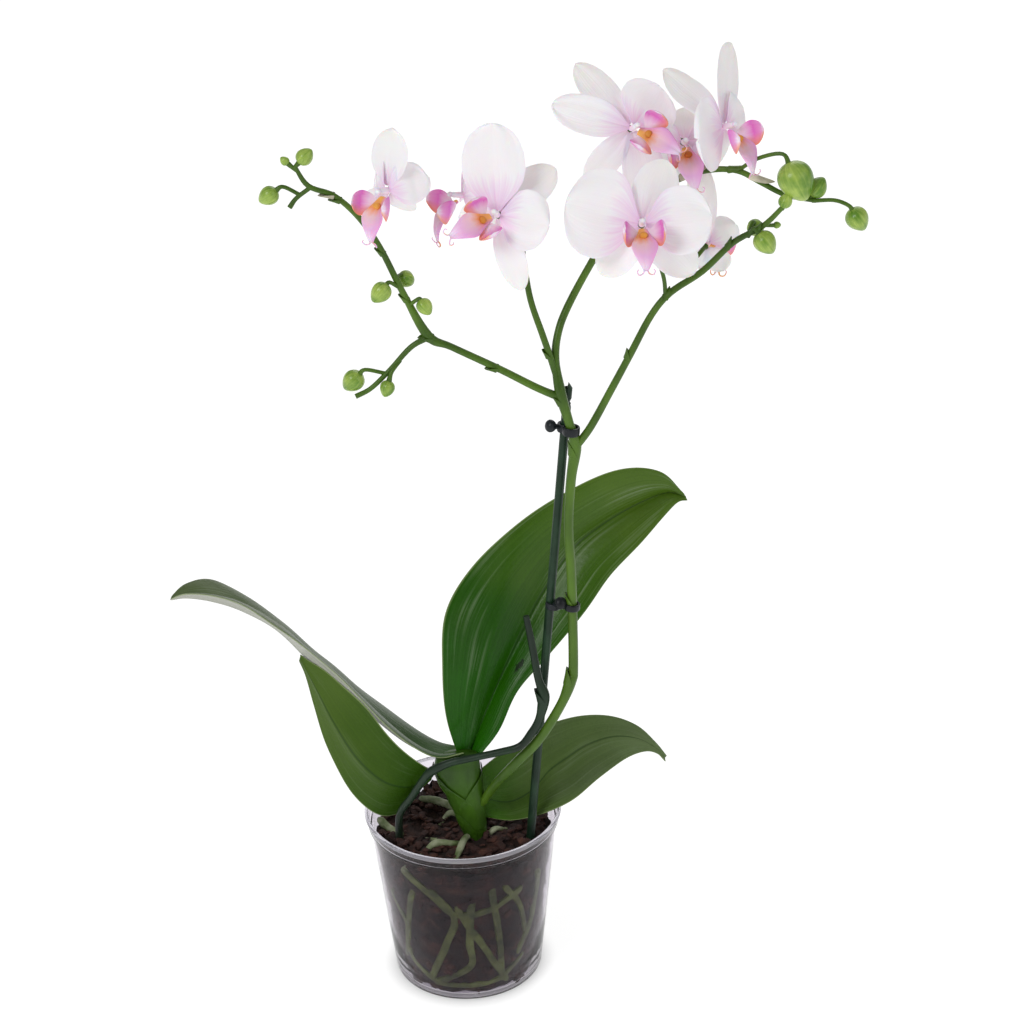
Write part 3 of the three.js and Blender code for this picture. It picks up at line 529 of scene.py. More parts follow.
mediumValues = {
    "top": 99.0, "bottom": 3.8, "core": 20, "voxel": 1.7, "inset": 1.5, "chipsOnTop": 430, "chipsAtWall": 520,
    # a chip's length, width and thickness, the range of its size, how far it lies off its place, and its lean
    "topChip": (10, 6, 3.4), "topSizes": (0.32, 0.8), "topOff": (-1.2, 0.8), "topLean": (-0.5, 0.5),
    "wallChip": (9, 5.5, 2.4), "wallSizes": (0.3, 0.95), "wallOff": (1.2, 3.2), "wallLean": (-0.35, 0.35),
}


def wallAt(z):  # inner radius of the pot's wall at a height, in millimetres
    low, high = potValues["baseRadius"] - 1.0, potValues["wallTop"][0] - potValues["wall"]
    return low + (high - low) * (z - potValues["floor"]) / (potValues["wallTop"][1] - potValues["floor"])


def mediumHeight(x, y):
    wave = sin(x * 0.33 + 1.2) * cos(y * 0.29) + 0.5 * sin(x * 0.71 + y * 0.53)
    return mediumValues["top"] + 1.5 * wave


def barkBody():
    inset, top = mediumValues["inset"], mediumValues["top"] - 1.5
    bottom, core = mediumValues["bottom"], mediumValues["core"]
    profile = [(core, bottom), (wallAt(4) - inset, bottom), (wallAt(8) - inset, 8), (wallAt(50) - inset, 50),
               (wallAt(top) - inset, top), (core, top)]
    body = turnedShell("bark_body", profile, 64)
    selectOnly(body)
    bpy.ops.object.mode_set(mode="EDIT")
    bpy.ops.mesh.select_all(action="DESELECT")
    bpy.ops.mesh.select_non_manifold()
    bpy.ops.mesh.edge_face_add()
    bpy.ops.mesh.select_all(action="SELECT")
    bpy.ops.mesh.normals_make_consistent(inside=False)
    bpy.ops.object.mode_set(mode="OBJECT")
    remesh = body.modifiers.new("voxels", "REMESH")
    remesh.mode = "VOXEL"
    remesh.voxel_size = mediumValues["voxel"] * mm
    applyModifiers(body)
    for vertex in body.data.vertices:
        rough = noise.noise(vertex.co * 120) * 1.8 + noise.noise(vertex.co * 240) * 0.5
        vertex.co += vertex.normal * rough * mm
        if vertex.co.z > (top - 4) * mm:
            vertex.co.z += (mediumHeight(vertex.co.x / mm, vertex.co.y / mm) - mediumValues["top"]) * 0.7 * mm
    return body


def chip(at, sides, size, turn):
    long, wide, thick = (side * size for side in sides)
    deselect()
    bpy.ops.mesh.primitive_ico_sphere_add(subdivisions=2, radius=1)
    piece = bpy.context.object
    seed = Vector((random.uniform(0, 50), random.uniform(0, 50), random.uniform(0, 50)))
    for vertex in piece.data.vertices:
        p = vertex.co
        square = max(abs(p.x), abs(p.y), abs(p.z))
        p = p.lerp(p / square, 0.45) * (1 + 0.35 * noise.noise(p * 1.4 + seed))
        local = turn @ Vector((p.x * long / 2, p.y * wide / 2, p.z * thick / 2))
        vertex.co = (Vector(at) + local) * mm
    return piece


def keepInside(piece, margin=0.5):  # nothing of the filling crosses the pot's wall or floor
    for vertex in piece.data.vertices:
        z = max(vertex.co.z / mm, potValues["floor"] + 0.4)
        reach = hypot(vertex.co.x, vertex.co.y) / mm
        limit = wallAt(min(z, 104)) - margin
        if reach > limit:
            vertex.co.x *= limit / reach
            vertex.co.y *= limit / reach
        vertex.co.z = z * mm


def buildMedium():
    chips = []
    lean = mediumValues["topLean"]
    for _ in range(mediumValues["chipsOnTop"]):
        reach = (wallAt(99) - 5) * sqrt(random.random())
        way = random.uniform(0, 2 * pi)
        x, y = reach * cos(way), reach * sin(way)
        tilt = Matrix.Rotation(random.uniform(*lean), 3, "X") @ Matrix.Rotation(random.uniform(*lean), 3, "Y")
        turn = Matrix.Rotation(random.uniform(0, 6.28), 3, "Z") @ tilt
        size = random.uniform(*mediumValues["topSizes"])
        at = (x, y, mediumHeight(x, y) + random.uniform(*mediumValues["topOff"]))
        chips.append(chip(at, mediumValues["topChip"], size, turn))
    for _ in range(mediumValues["chipsAtWall"]):
        z = 4.4 + 93 * random.random() ** 1.3
        way = random.uniform(0, 2 * pi)
        reach = wallAt(z) - random.uniform(*mediumValues["wallOff"])
        outward = Matrix.Rotation(way, 3, "Z") @ Matrix.Rotation(pi / 2, 3, "Y")
        spun = outward @ Matrix.Rotation(random.uniform(0, 6.28), 3, "Z")
        turn = spun @ Matrix.Rotation(random.uniform(*mediumValues["wallLean"]), 3, "X")
        size = random.uniform(*mediumValues["wallSizes"])
        at = (reach * cos(way), reach * sin(way), z)
        chips.append(chip(at, mediumValues["wallChip"], size, turn))
    bark = joinPieces("bark_chips", chips)
    keepInside(bark)
    dress(bark, "chip", "bark", angle=25)
    body = barkBody()
    keepInside(body, 0.7)
    dress(body, "bark", "bark", "growing_medium")


buildMedium()
print("growing medium made")


rootValues = {
    "crown": {"at": (9, -8, 82), "radius": 8.5},
    # radius in millimetres, then bearing in degrees and height along the wall
    "wall": [
        (2.5, [(-132, 94), (-112, 81), (-97, 68), (-73, 70), (-52, 78)]),
        (2.4, [(-112, 84), (-98, 66), (-105, 44), (-119, 16)]), (2.3, [(-86, 74), (-88, 46), (-88, 27), (-114, 12)]),
        (2.2, [(-95, 72), (-77, 40), (-60, 12)]), (2.2, [(-72, 84), (-66, 46), (-63, 14)]),
        (2.1, [(-128, 78), (-143, 26)]), (2.2, [(-32, 82), (-36, 52), (-48, 30)]),
        (1.9, [(-140, 30), (-118, 13), (-92, 11), (-66, 13), (-46, 24)]),
        (1.7, [(-62, 84), (-50, 66), (-43, 44)]), (1.6, [(-150, 70), (-138, 52), (-140, 36)]),
        (2.3, [(24, 80), (18, 24)]), (2.3, [(92, 80), (84, 22)]), (2.3, [(165, 80), (172, 24)]),
    ],
    # x, y, z and radius
    "surface": [
        [(6, -2, 92, 2.6), (-4, 10, 103, 2.8), (-14, 20, 104, 2.9), (-25, 27, 102, 2.4)],
        [(5, -8, 92, 2.6), (2, -16, 101.5, 2.7), (-2, -28, 102, 2.7), (-6, -40, 97, 2.3)],
        [(4, -10, 92, 2.2), (-5, -22, 101, 2.2), (-17, -22, 101.5, 2.3), (-27, -30, 97, 2)],
        [(0, -6, 92, 2.4), (-16, -11, 96, 2.5), (-32, -8, 96, 2.5), (-44, -2, 99, 2.8), (-50, 3, 102, 3.2)],
        [(12, -8, 92, 2), (19, -8, 101, 2.1), (25, -4, 98, 1.9)],
        [(4, 0, 92, 2), (-2, 6, 102, 2.2), (-9, 8, 103, 2.3), (-14, 6, 97, 2)],
    ],
}


def wallRoute(radius, path):
    at = rootValues["crown"]["at"]
    route = []
    for bearing, z in path:
        turn = radians(bearing)
        reach = wallAt(z) - 0.4 - radius * 0.45
        route.append((reach * cos(turn), reach * sin(turn), z, radius))
    first = route[0]
    middle = ((at[0] + first[0]) / 2, (at[1] + first[1]) / 2, (at[2] + first[2]) / 2 - 3, radius)
    return [(*at, radius), middle, *route]


def buildRoots():
    crown = rootValues["crown"]
    routes = [wallRoute(radius, path) for radius, path in rootValues["wall"]]
    for route in rootValues["surface"]:  # a little thinner and lower than the plain solids, half sunk among the chips
        routes.append([(*crown["at"], route[0][3]), *((x, y, z - 0.8, r * 0.82) for x, y, z, r in route)])
    strands = tubes("root_strands", routes, roundness=4, detail=9)
    for vertex in strands.data.vertices:  # live roots are never quite even
        swell = noise.noise(vertex.co * 90) * 0.6 + noise.noise(vertex.co * 260) * 0.3
        vertex.co += vertex.normal * swell * mm
    knot = shapedBall("root_knot", 20, 14, lambda p: Vector(crown["at"]) + p * crown["radius"])
    tips = []
    for route in routes:  # a rounded growing tip
        end, before = Vector(route[-1][:3]), Vector(route[-2][:3])
        along = (end - before).normalized()
        tips.append(shapedBall("tip", 12, 8, lambda p: end + p * route[-1][3] + along * max(0, p.dot(along)) * 1.2))
    roots = joinPieces("live_roots", [strands, knot, *tips])
    keepInside(roots, 0.45)
    return dress(roots, "root", "root_skin", "roots")


buildRoots()
print("roots made")


crownValues = {  # height, middle and half width across and deep, in millimetres
    "rows": [(84, 9, -9, 6.2, 6.2), (92, 8, -8.6, 6.8, 6.6), (100, 6.8, -8, 7.4, 7.2), (112, 4.6, -8, 8.9, 7.6),
             (125, 2.2, -8.4, 10.6, 7.9), (138, -0.9, -8.8, 12.9, 8), (147, -2.3, -8.8, 14, 7.4),
             (153, -2, -8.2, 13.2, 6.4), (157, 1, -7.4, 8.6, 4.6)],
    # sheaths of the leaves: bearings of the sides, height of the foot, and of the upper edge at each side
    "sheaths": [(-200, -62, 101, 150, 121), (-118, 20, 104, 120, 149), (-150, -78, 97, 118, 104)],
}
stakeValues = {"foot": (34, -16, 30), "tip": (69, -4, 386), "radius": 2.6}


def crownAt(z, bearing, off=0.0):
    rows = crownValues["rows"]
    low, high = rows[0][0], rows[-1][0]
    z = min(max(z, low), high)
    k = next(i for i in range(len(rows) - 1) if z <= rows[i + 1][0])
    a, b = rows[k], rows[k + 1]
    w = (z - a[0]) / (b[0] - a[0])
    w = w * w * (3 - 2 * w)
    x, y, wide, deep = (a[i] * (1 - w) + b[i] * w for i in range(1, 5))
    return Vector((x + (wide + off) * cos(bearing), y + (deep + off) * sin(bearing), z))


def buildCrown():
    low, high = crownValues["rows"][0][0], crownValues["rows"][-1][0]

    def place(p):
        v = acos(max(-1, min(1, -p.z))) / pi
        point = crownAt(low + (high - low) * v, atan2(p.y, p.x))
        atPole = v in (0, 1) or hypot(p.x, p.y) < 1e-4
        return (crownAt(point.z, 0) + crownAt(point.z, pi)) / 2 if atPole else point
    pieces = [shapedBall("stem", 40, 44, place)]
    for start, end, foot, first, second in crownValues["sheaths"]:
        def at(u, v):
            top = first + (second - first) * u + 3 * sin(pi * u)
            z = foot + (top - foot) * v
            return crownAt(z, radians(start + (end - start) * u), 0.25 + 0.9 * v * v)
        pieces.append(thicken(shapedGrid("sheath", 20, 14, at), 0.7, 0.4))
    crown = joinPieces("crown_stems", pieces)
    return dress(crown, "crown", "stem_green", "stem_crown")


def buildStake():
    foot, tip, radius = Vector(stakeValues["foot"]), Vector(stakeValues["tip"]), stakeValues["radius"]
    along = (tip - foot).normalized()
    route = [(*foot, radius), (*foot.lerp(tip, 0.5), radius), (*(tip - along * 3.4), radius),
             (*(tip - along * 1.4), radius * 0.96), (*(tip - along * 0.4), radius * 0.7), (*tip, radius * 0.25)]
    rod = tubes("support_rod", [route], roundness=7, detail=4)
    return dress(rod, "stake", "stake_green", "stake")


clipValues = {
    "clip_lower": {"stakeAt": (58, -9.6, 257), "stemAt": (69, -17.2, 260), "grip": (62.5, -18.5, 263),
                   "height": 4, "stem": 2.8},
    "clip_upper": {"stakeAt": (67.4, -4.5, 370), "stemAt": (70.8, -13.2, 372), "grip": (59, -8.5, 373),
                   "height": 5, "stem": 3.1},
}


def clipRing(at, axis, hole, wide, height):  # a band with rounded edges round a stem or the rod
    side = axis.orthogonal().normalized()

    def flat(c):
        return copysign(abs(c) ** 0.45, c)

    def place(u, v):
        around, section = 2 * pi * u, 2 * pi * v
        out = side * cos(around) + axis.cross(side) * sin(around)
        reach = hole + wide / 2 + wide / 2 * flat(cos(section))
        return at + out * reach + axis * height / 2 * flat(sin(section))
    ring = shapedGrid("ring", 36, 16, place)
    weld = ring.modifiers.new("close", "WELD")
    weld.merge_threshold = 0.00001
    applyModifiers(ring)
    return ring


def buildClips():
    axis = (Vector(stakeValues["tip"]) - Vector(stakeValues["foot"])).normalized()
    for node, values in clipValues.items():
        stakeAt, stemAt, grip = Vector(values["stakeAt"]), Vector(values["stemAt"]), Vector(values["grip"])
        rings = [clipRing(stakeAt, axis, stakeValues["radius"] + 0.3, 1.6, values["height"]),
                 clipRing(stemAt, axis, values["stem"] + 0.4, 1.5, values["height"])]
        between = (stemAt - stakeAt).normalized()
        bridge = tubes("bridge", [[(*(stakeAt + between * 3.6), 1.7), (*(stemAt - between * 3.6), 1.7)]], 4, 4)
        out = (grip - stakeAt).normalized()
        handle = tubes("handle", [[(*(stakeAt + out * 3.4), 1.6), (*grip, 1.5)]], 4, 4)
        knob = shapedBall("knob", 20, 12, lambda p: grip + p * 3.7 - out * 0.9 * max(0, p.dot(out)))
        clip = joinPieces(node + "_grip", [*rings, bridge, handle, knob])
        dress(clip, "clip", "clip_black", node, angle=45)


buildCrown()
buildStake()
buildClips()
print("crown, stake and clips made")


# rails in millimetres from foot to tip: one margin, the midrib, the other margin
leafValues = {
    "leaf_upright": {
        "arch": 3, "thickness": 2.1, "groove": -1, "skins": ("glossy", "leafUnder"),
        "left": [(-1, -6, 150), (-8, -2, 179), (-9, 4, 211), (-6, 14, 241), (10, 27, 263), (36, 40, 283),
                (66, 52, 298), (99, 60, 309), (125, 64, 305), (140, 66, 288)],
        "mid": [(5, 2, 148), (14, 7, 169), (25, 17, 190), (38, 28, 213), (54, 41, 239), (72, 52, 261),
                (95, 61, 275), (117, 67, 284), (131, 68, 288), (141, 66, 286)],
        "right": [(12, -5, 152), (24, 0, 166), (36, 7, 189), (55, 17, 207), (78, 29, 230), (94, 40, 248),
                (113, 50, 264), (128, 60, 277), (136, 63, 284), (142, 65, 284)],
    },
    "leaf_right": {
        "arch": -2.5, "thickness": 1.9, "groove": -1, "skins": ("dull", "leafUnder"),
        "left": [(9, -3, 139), (22, 8, 143), (34, 20, 143), (44, 30, 144), (55, 40, 145), (75, 48, 145),
                (93, 50, 143), (109, 46, 138), (120, 42, 128), (127, 41, 118)],
        "mid": [(10, -6, 123), (28, 0, 114), (43, 8, 117), (53, 18, 124), (63, 28, 126), (77, 36, 131),
                (94, 40, 134), (109, 40, 132), (120, 40, 125), (126, 40, 117)],
        "right": [(12, -7, 109), (27, -9, 107), (41, -8, 108), (54, -12, 115), (68, -6, 119), (84, 13, 121),
                (101, 34, 121), (113, 37, 124), (121, 39, 121), (126, 39, 115)],
    },
    "leaf_long": {
        "arch": -2, "thickness": 2.0, "groove": 0, "skins": ("silvery", "darkUpper"),
        "left": [(-1, 2, 154), (-15, 12, 153), (-36, 22, 163), (-62, 28, 184), (-84, 30, 206), (-104, 28, 228),
                (-124, 25, 250), (-143, 18, 266), (-157, 6, 270), (-165, -3, 267)],
        "mid": [(-3, -7, 152), (-18, -8, 156), (-37, -7, 168), (-63, -6, 195), (-85, -5, 219), (-104, -5, 243),
                (-124, -5, 257), (-141, -5, 264), (-156, -5, 267), (-166, -5, 266)],
        "right": [(3, -14, 160), (-15, -21, 162), (-37, -30, 184), (-62, -36, 221), (-81, -38, 244), (-100, -36, 261),
                  (-119, -32, 275), (-138, -25, 279), (-155, -14, 274), (-165, -7, 267)],
    },
    "leaf_low": {
        "arch": 1.5, "thickness": 1.9, "groove": -0.6, "skins": ("smooth", "leafUnder"),
        "left": [(-15, -13, 147), (-22, -18, 154), (-33, -20, 166), (-43, -21, 180), (-54, -21, 198), (-66, -19, 211),
                 (-77, -16, 221), (-87, -12, 226), (-92, -10, 229)],
        "mid": [(-17, -11, 143), (-25, -14, 140), (-35, -18, 140), (-48, -20, 147), (-62, -20, 164),
                (-74, -17, 187), (-82, -14, 206), (-88, -11, 219), (-92, -10, 227)],
        "right": [(-18, -9, 138), (-27, -9, 130), (-36, -10, 117), (-51, -12, 116), (-67, -12, 133),
                (-80, -10, 165), (-86, -8, 193), (-90, -8, 214), (-93, -8, 224)],
    },
}


def buildLeaf(node, leaf):
    def place(u, v):
        left, mid, right = (splineAt(leaf[rail], v) for rail in ("left", "mid", "right"))
        along = splineAt(leaf["mid"], min(1, v + 0.01)) - splineAt(leaf["mid"], max(0, v - 0.01))
        lift = (right - left).cross(along).normalized()
        share = abs(2 * u - 1)
        swell = leaf["arch"] * min(1, (right - left).length / 60)
        point = mid.lerp(left if u < 0.5 else right, share)
        waver = noise.noise(point * 0.035) * 0.9 * share
        groove = 0.9 * exp(-(share * 11) ** 2)
        return point + lift * (swell * sin(pi * share) + waver + leaf["groove"] * groove)
    blade = shapedGrid(node + "_blade", 18, 60, place)
    for skin in leaf["skins"]:  # the side that the blade's normals point to comes first
        blade.data.materials.append(skins[skin])
    thicken(blade, leaf["thickness"], 0.4)
    return dress(blade, None, "leaf_green", node)


for leafName, leafShape in leafValues.items():
    buildLeaf(leafName, leafShape)
print("leaves made")


spikeValues = {
    # x, y, z and radius in millimetres
    "main": [
        (12, -11, 122, 2.6), (22, -18, 141, 2.9), (33, -22, 156, 3), (48, -23, 174, 3), (61, -22, 196, 2.9),
        (67, -20, 211, 3.7), (69, -18.5, 222, 2.9), (69, -16, 280, 2.8), (68, -14.5, 310, 2.8), (70, -13.5, 340, 2.9),
        (73, -12.5, 362, 3.6), (70, -13.5, 376, 2.6), (65.5, -12, 394, 3.2), (63, -6, 413, 2.3), (65, 0, 427, 2.2),
        (71, 7, 440, 2.2), (84, 13, 462, 2.1), (97, 18, 481, 2.1), (115, 20, 499, 2), (134, 17, 510, 1.9),
        (150, 14, 516, 1.8), (166, 9, 517, 1.7), (179, 5, 511, 1.6), (192, 1, 505, 1.5), (208, -4, 503, 1.3)],
    "branches": [
        [(73, -12.5, 361, 2.4), (82, -13, 374, 2.3), (94, -13, 397, 2.2), (105, -12, 418, 2.1), (117, -9, 440, 2),
         (128, -6, 452, 2), (146, -1, 462, 1.9), (163, -2, 479, 1.8), (179, -6, 490, 1.6), (190, -8, 502, 1.4)],
        [(66, -12, 392, 2.4), (52, -10, 398, 2.2), (32, -8, 409, 2.1), (5, -6, 423, 2), (-8, -5, 430, 2.8),
         (-21, -3, 456, 1.9), (-32, -2, 482, 1.8), (-43, 0, 500, 1.7), (-56, 1, 513, 1.6), (-70, 2, 519, 1.5),
         (-77, 2, 531, 1.2)],
        [(-8, -5, 429, 1.8), (-18, -7, 424, 1.6), (-30, -10, 412, 1.5), (-41, -12, 402, 1.4), (-50, -14, 398, 1.5)],
        [(-69, 2, 518, 1.3), (-77, 2, 512, 1.3), (-81, 1, 507, 1.5)],
        [(63, -8, 405, 2), (60, -8, 416, 1.9), (56, -6, 429, 1.9), (50, -1, 448, 1.8), (47, 4, 468, 1.6),
         (45, 5, 480, 1.5)]],
    "cut": [
        (-39, -8, 80, 2.4), (-39, -14, 100, 2.4), (-37.7, -18, 120, 2.3), (-30, -21, 134, 2.3), (-22, -24, 148.5, 2.4),
        (-17, -25, 154.5, 2.9), (-5.9, -27, 161.1, 2.3), (6.1, -27, 163.8, 2.2), (24, -27, 167.6, 2.2),
        (36, -26, 170.6, 2.3), (43, -25, 179, 2.4), (48, -24, 188, 2.5), (51, -22, 202, 3.6), (48, -20, 214, 2.4),
        (45, -16, 234, 2.2), (42, -13, 252, 1.9)],
    # where a scale-like bract wraps the stem: place, way along the stem, length and stem radius
    "bracts": [
        ((67, -20, 211), (0.3, 0.1, 1), 11, 3.6), ((69, -17, 262), (0, 0.05, 1), 9, 3.0),
        ((72.6, -12.6, 358), (0.1, 0.1, 1), 9, 3.5), ((66, -12.2, 390), (-0.4, 0.1, 1), 8, 3.1),
        ((29, -8, 410.6), (-1, 0.05, 0.5), 7, 2.5), ((-7, -5, 429), (-1, 0, 0.6), 8, 2.8),
        ((-19, -3, 452), (-0.45, 0.05, 1), 6, 2.2), ((-31, -2, 480), (-0.5, 0.05, 1), 6, 2.1),
        ((-54, 1, 511), (-1, 0.1, 0.5), 7, 2.0), ((59.6, -8, 417), (-0.25, 0, 1), 6, 2.2),
        ((104, -12, 416), (0.5, 0.05, 1), 6, 2.4), ((126, -7, 450), (0.7, 0.2, 0.6), 7, 2.3),
        ((161, -2, 477), (0.6, -0.1, 0.7), 7, 2.1), ((177, -6, 488), (0.8, -0.2, 0.6), 5, 1.9),
        ((163, 10, 517), (1, -0.3, 0), 9, 2.0)],
    "papery": [((140, 16, 512.5), (1, -0.2, 0.4), 22, 2.15), ((176, 6, 513), (1, -0.3, -0.4), 14, 2.0),
               ((-58, 1, 514), (-1, 0.05, 0.35), 9, 1.95)],
    "cutScar": ((50.6, -22.2, 201), (-0.1, 0.1, 1), 9, 3.5),
}

budValues = [  # the pedicel's way to the bud's middle and the bud's radius, in millimetres
    ([(171, -4, 483), (174, -7, 489), (180, -8, 481)], 6.3), ([(171, -4, 484), (174, 2, 489), (176, 6, 484)], 4.8),
    ([(189, -8, 500), (191, -8, 505)], 3.9), ([(179, -6, 490), (187, -3, 489)], 2),
    ([(166, 9, 517), (177, 6, 525), (190, 1, 529), (197, -3, 515)], 10.2), ([(204, -3, 503), (209, 0, 509)], 5.6),
    ([(206, -4, 503), (218, -4, 503), (226, -5, 500), (231, -5, 492)], 6.4), ([(-77, 2, 530), (-71, 2, 536)], 4.7),
    ([(-76, 2, 528), (-82, 2, 534)], 2.5), ([(-75, 2, 514), (-84, 2, 519), (-92, 2, 514)], 5.3),
    ([(-23, -3, 459), (-28, -7, 464), (-33, -9, 459)], 5.7), ([(-25, -3, 464), (-22, 3, 464), (-19, 6, 460)], 4.8),
    ([(-17, -4, 449), (-12, -8, 454), (-9, -10, 450)], 4.5),
    ([(-33, -10, 410), (-44, -11, 413), (-51, -10, 406)], 6.1),
    ([(-24, -8.5, 417), (-29, -13, 412), (-32, -15, 403)], 4.3),
]

# blooms: centre, way that the bloom faces, turn of the lip in degrees if it has one, pedicel, and each sepal
# and petal as its bearing, its fold forward in degrees, its length and its half width
bloomValues = {
    "bloom_1": {"at": (-26, -8, 519), "face": (-0.6, -0.8, 0.06), "stalk": [(-36, -1, 489), (-32, 7, 500)],
                "sepals": [(96, -8, 31, 13), (-62, -30, 16, 7), (-140, 4, 22, 7)],
                "petals": [(24, -50, 22, 12), (162, -40, 22, 13)]},
    "bloom_2": {"at": (33, -12, 504), "face": (-0.22, -0.88, 0.4), "lipTurn": -58,
                "stalk": [(45, 5, 480), (46, 8, 492)],
                "sepals": [(46, -18, 39, 11), (-70, -6, 41, 8.5), (-172, -25, 26, 9)],
                "petals": [(97, 4, 48, 18), (-7, 2, 28, 17)]},
    "bloom_3": {"at": (15, 26, 501), "face": (-0.95, -0.3, 0.05), "stalk": [(47, 4, 468), (45, 17, 485)],
                "sepals": [(90, -34, 26, 9), (-42, -30, 22, 8), (-130, -34, 24, 8)],
                "petals": [(14, -32, 26, 13), (166, -32, 26, 13)]},
    "bloom_4": {"at": (111, -32, 504), "face": (0.03, -0.9, 0.42),
                "stalk": [(125, -7, 450), (124, -8, 462), (119, -16, 480)],
                "sepals": [(66, -6, 36, 12.5), (-44, -8, 38, 12), (-131, -8, 33, 11)],
                "petals": [(3, 4, 36, 19), (163, 2, 41, 25)]},
    "bloom_5": {"at": (108, 8, 544), "face": (0.34, -0.85, 0.36), "lipTurn": 48,
                "stalk": [(112, 20, 497), (106, 22, 514), (103, 20, 530)],
                "sepals": [(118, -12, 44, 10), (-138, -10, 36, 9), (-76, -14, 38, 13)],
                "petals": [(45, 4, 26, 18), (155, -6, 45, 11)]},
    "bloom_6": {"at": (158.5, 12, 541.8), "face": (0.72, -0.66, 0.2),
                "stalk": [(142, 15.5, 513), (144.5, 20, 525)],
                "sepals": [(58, -4, 46, 10), (114, -26, 42, 10), (-80, -20, 24, 9)],
                "petals": [(178, 10, 28, 21), (6, -12, 22, 15)]},
    "bloom_7": {"at": (137.7, 26, 528.3), "face": (0.05, -0.93, 0.3), "lipTurn": 8,
                "stalk": [(139.5, 16, 512), (140, 27, 514)],
                "sepals": [(80, -20, 18, 8), (-40, -10, 18, 8), (-122, -22, 26, 8)],
                "petals": [(10, -8, 18, 10), (165, -34, 17, 9)]},
    "bloom_8": {"at": (150, 23, 468), "face": (0.4, 0.88, 0.1), "stalk": [(139, -3, 458), (139, 7, 461)],
                "sepals": [(86, 8, 50, 9), (-60, 20, 17, 9), (-125, 16, 17, 9)],
                "petals": [(25, 50, 20, 10), (150, 44, 18, 10)]},
}


def pedicelRoute(bloom):
    at, face = Vector(bloom["at"]), Vector(bloom["face"]).normalized()
    route = [(*p, 1.2) for p in bloom["stalk"]]
    return [*route, (*(at - face * 11), 1.25), (*(at - face * 5), 1.4), (*(at - face * 2.4), 2.1)]


def bract(place, way, length, radius):  # a pointed scale wrapped round a node of the stem
    way = Vector(way).normalized()
    side = way.cross(Vector((0.2, 1, 0.1))).normalized()
    front = way.cross(side)

    def at(u, v):
        width = (1 - v) ** 0.55
        around = (u - 0.5) * radians(250) * width
        out = side * cos(around) + front * sin(around)
        return Vector(place) + way * length * (v - 0.25) + out * (radius + 0.35 + 0.8 * v * v)
    scale = shapedGrid("bract", 8, 8, at)
    return thicken(scale, 0.45, 0.5)


def bud(route, radius):
    middle, before = Vector(route[-1]), Vector(route[-2])
    along = (middle - before).normalized()
    turn = along.to_track_quat("Z", "Y")

    def place(p):
        around = atan2(p.y, p.x)
        seam = abs(cos(1.5 * around)) ** 10  # the edges of three sepals
        wide = (1 - 0.055 * seam) * (1 - 0.12 * p.z)
        long = p.z * 1.06 + (0.16 * max(0, p.z) ** 6)
        return middle + turn @ Vector((p.x * wide, p.y * wide, long)) * radius
    return shapedBall("bud", 30, 18, place)


def buildSpikes():
    routes = [spikeValues["main"], *spikeValues["branches"], *(pedicelRoute(b) for b in bloomValues.values())]
    stems = tubes("green_stems", routes, roundness=4, detail=6)
    stalks = []
    for route, radius in budValues:
        thin = min(1.15, radius * 0.4)
        stalk = [(*p, thin) for p in route[:-1]]
        middle, before = Vector(route[-1]), Vector(route[-2])
        inside = middle.lerp(before, radius * 0.7 / (middle - before).length)
        stalks.append([*stalk, (*inside, thin * 1.5)])
    pedicels = tubes("bud_stalks", stalks, roundness=3, detail=6)
    scales = [bract(*values) for values in spikeValues["bracts"]]
    spike = joinPieces("green_spike", [stems, pedicels, *scales])
    dress(spike, "spike", "stem_green", "flower_spike")
    buds = joinPieces("flower_buds", [bud(route, radius) for route, radius in budValues])
    dress(buds, "bud", "stem_green")
    papery = joinPieces("papery_bracts", [bract(*values) for values in spikeValues["papery"]])
    dress(papery, "bract", "stem_green")
    old = tubes("old_spike", [spikeValues["cut"]], roundness=5, detail=8)
    scar = bract(*spikeValues["cutScar"])
    dress(joinPieces("old_spike", [old, scar]), "old", "old_stem", "cut_spike")


buildSpikes()
print("spikes and buds made")


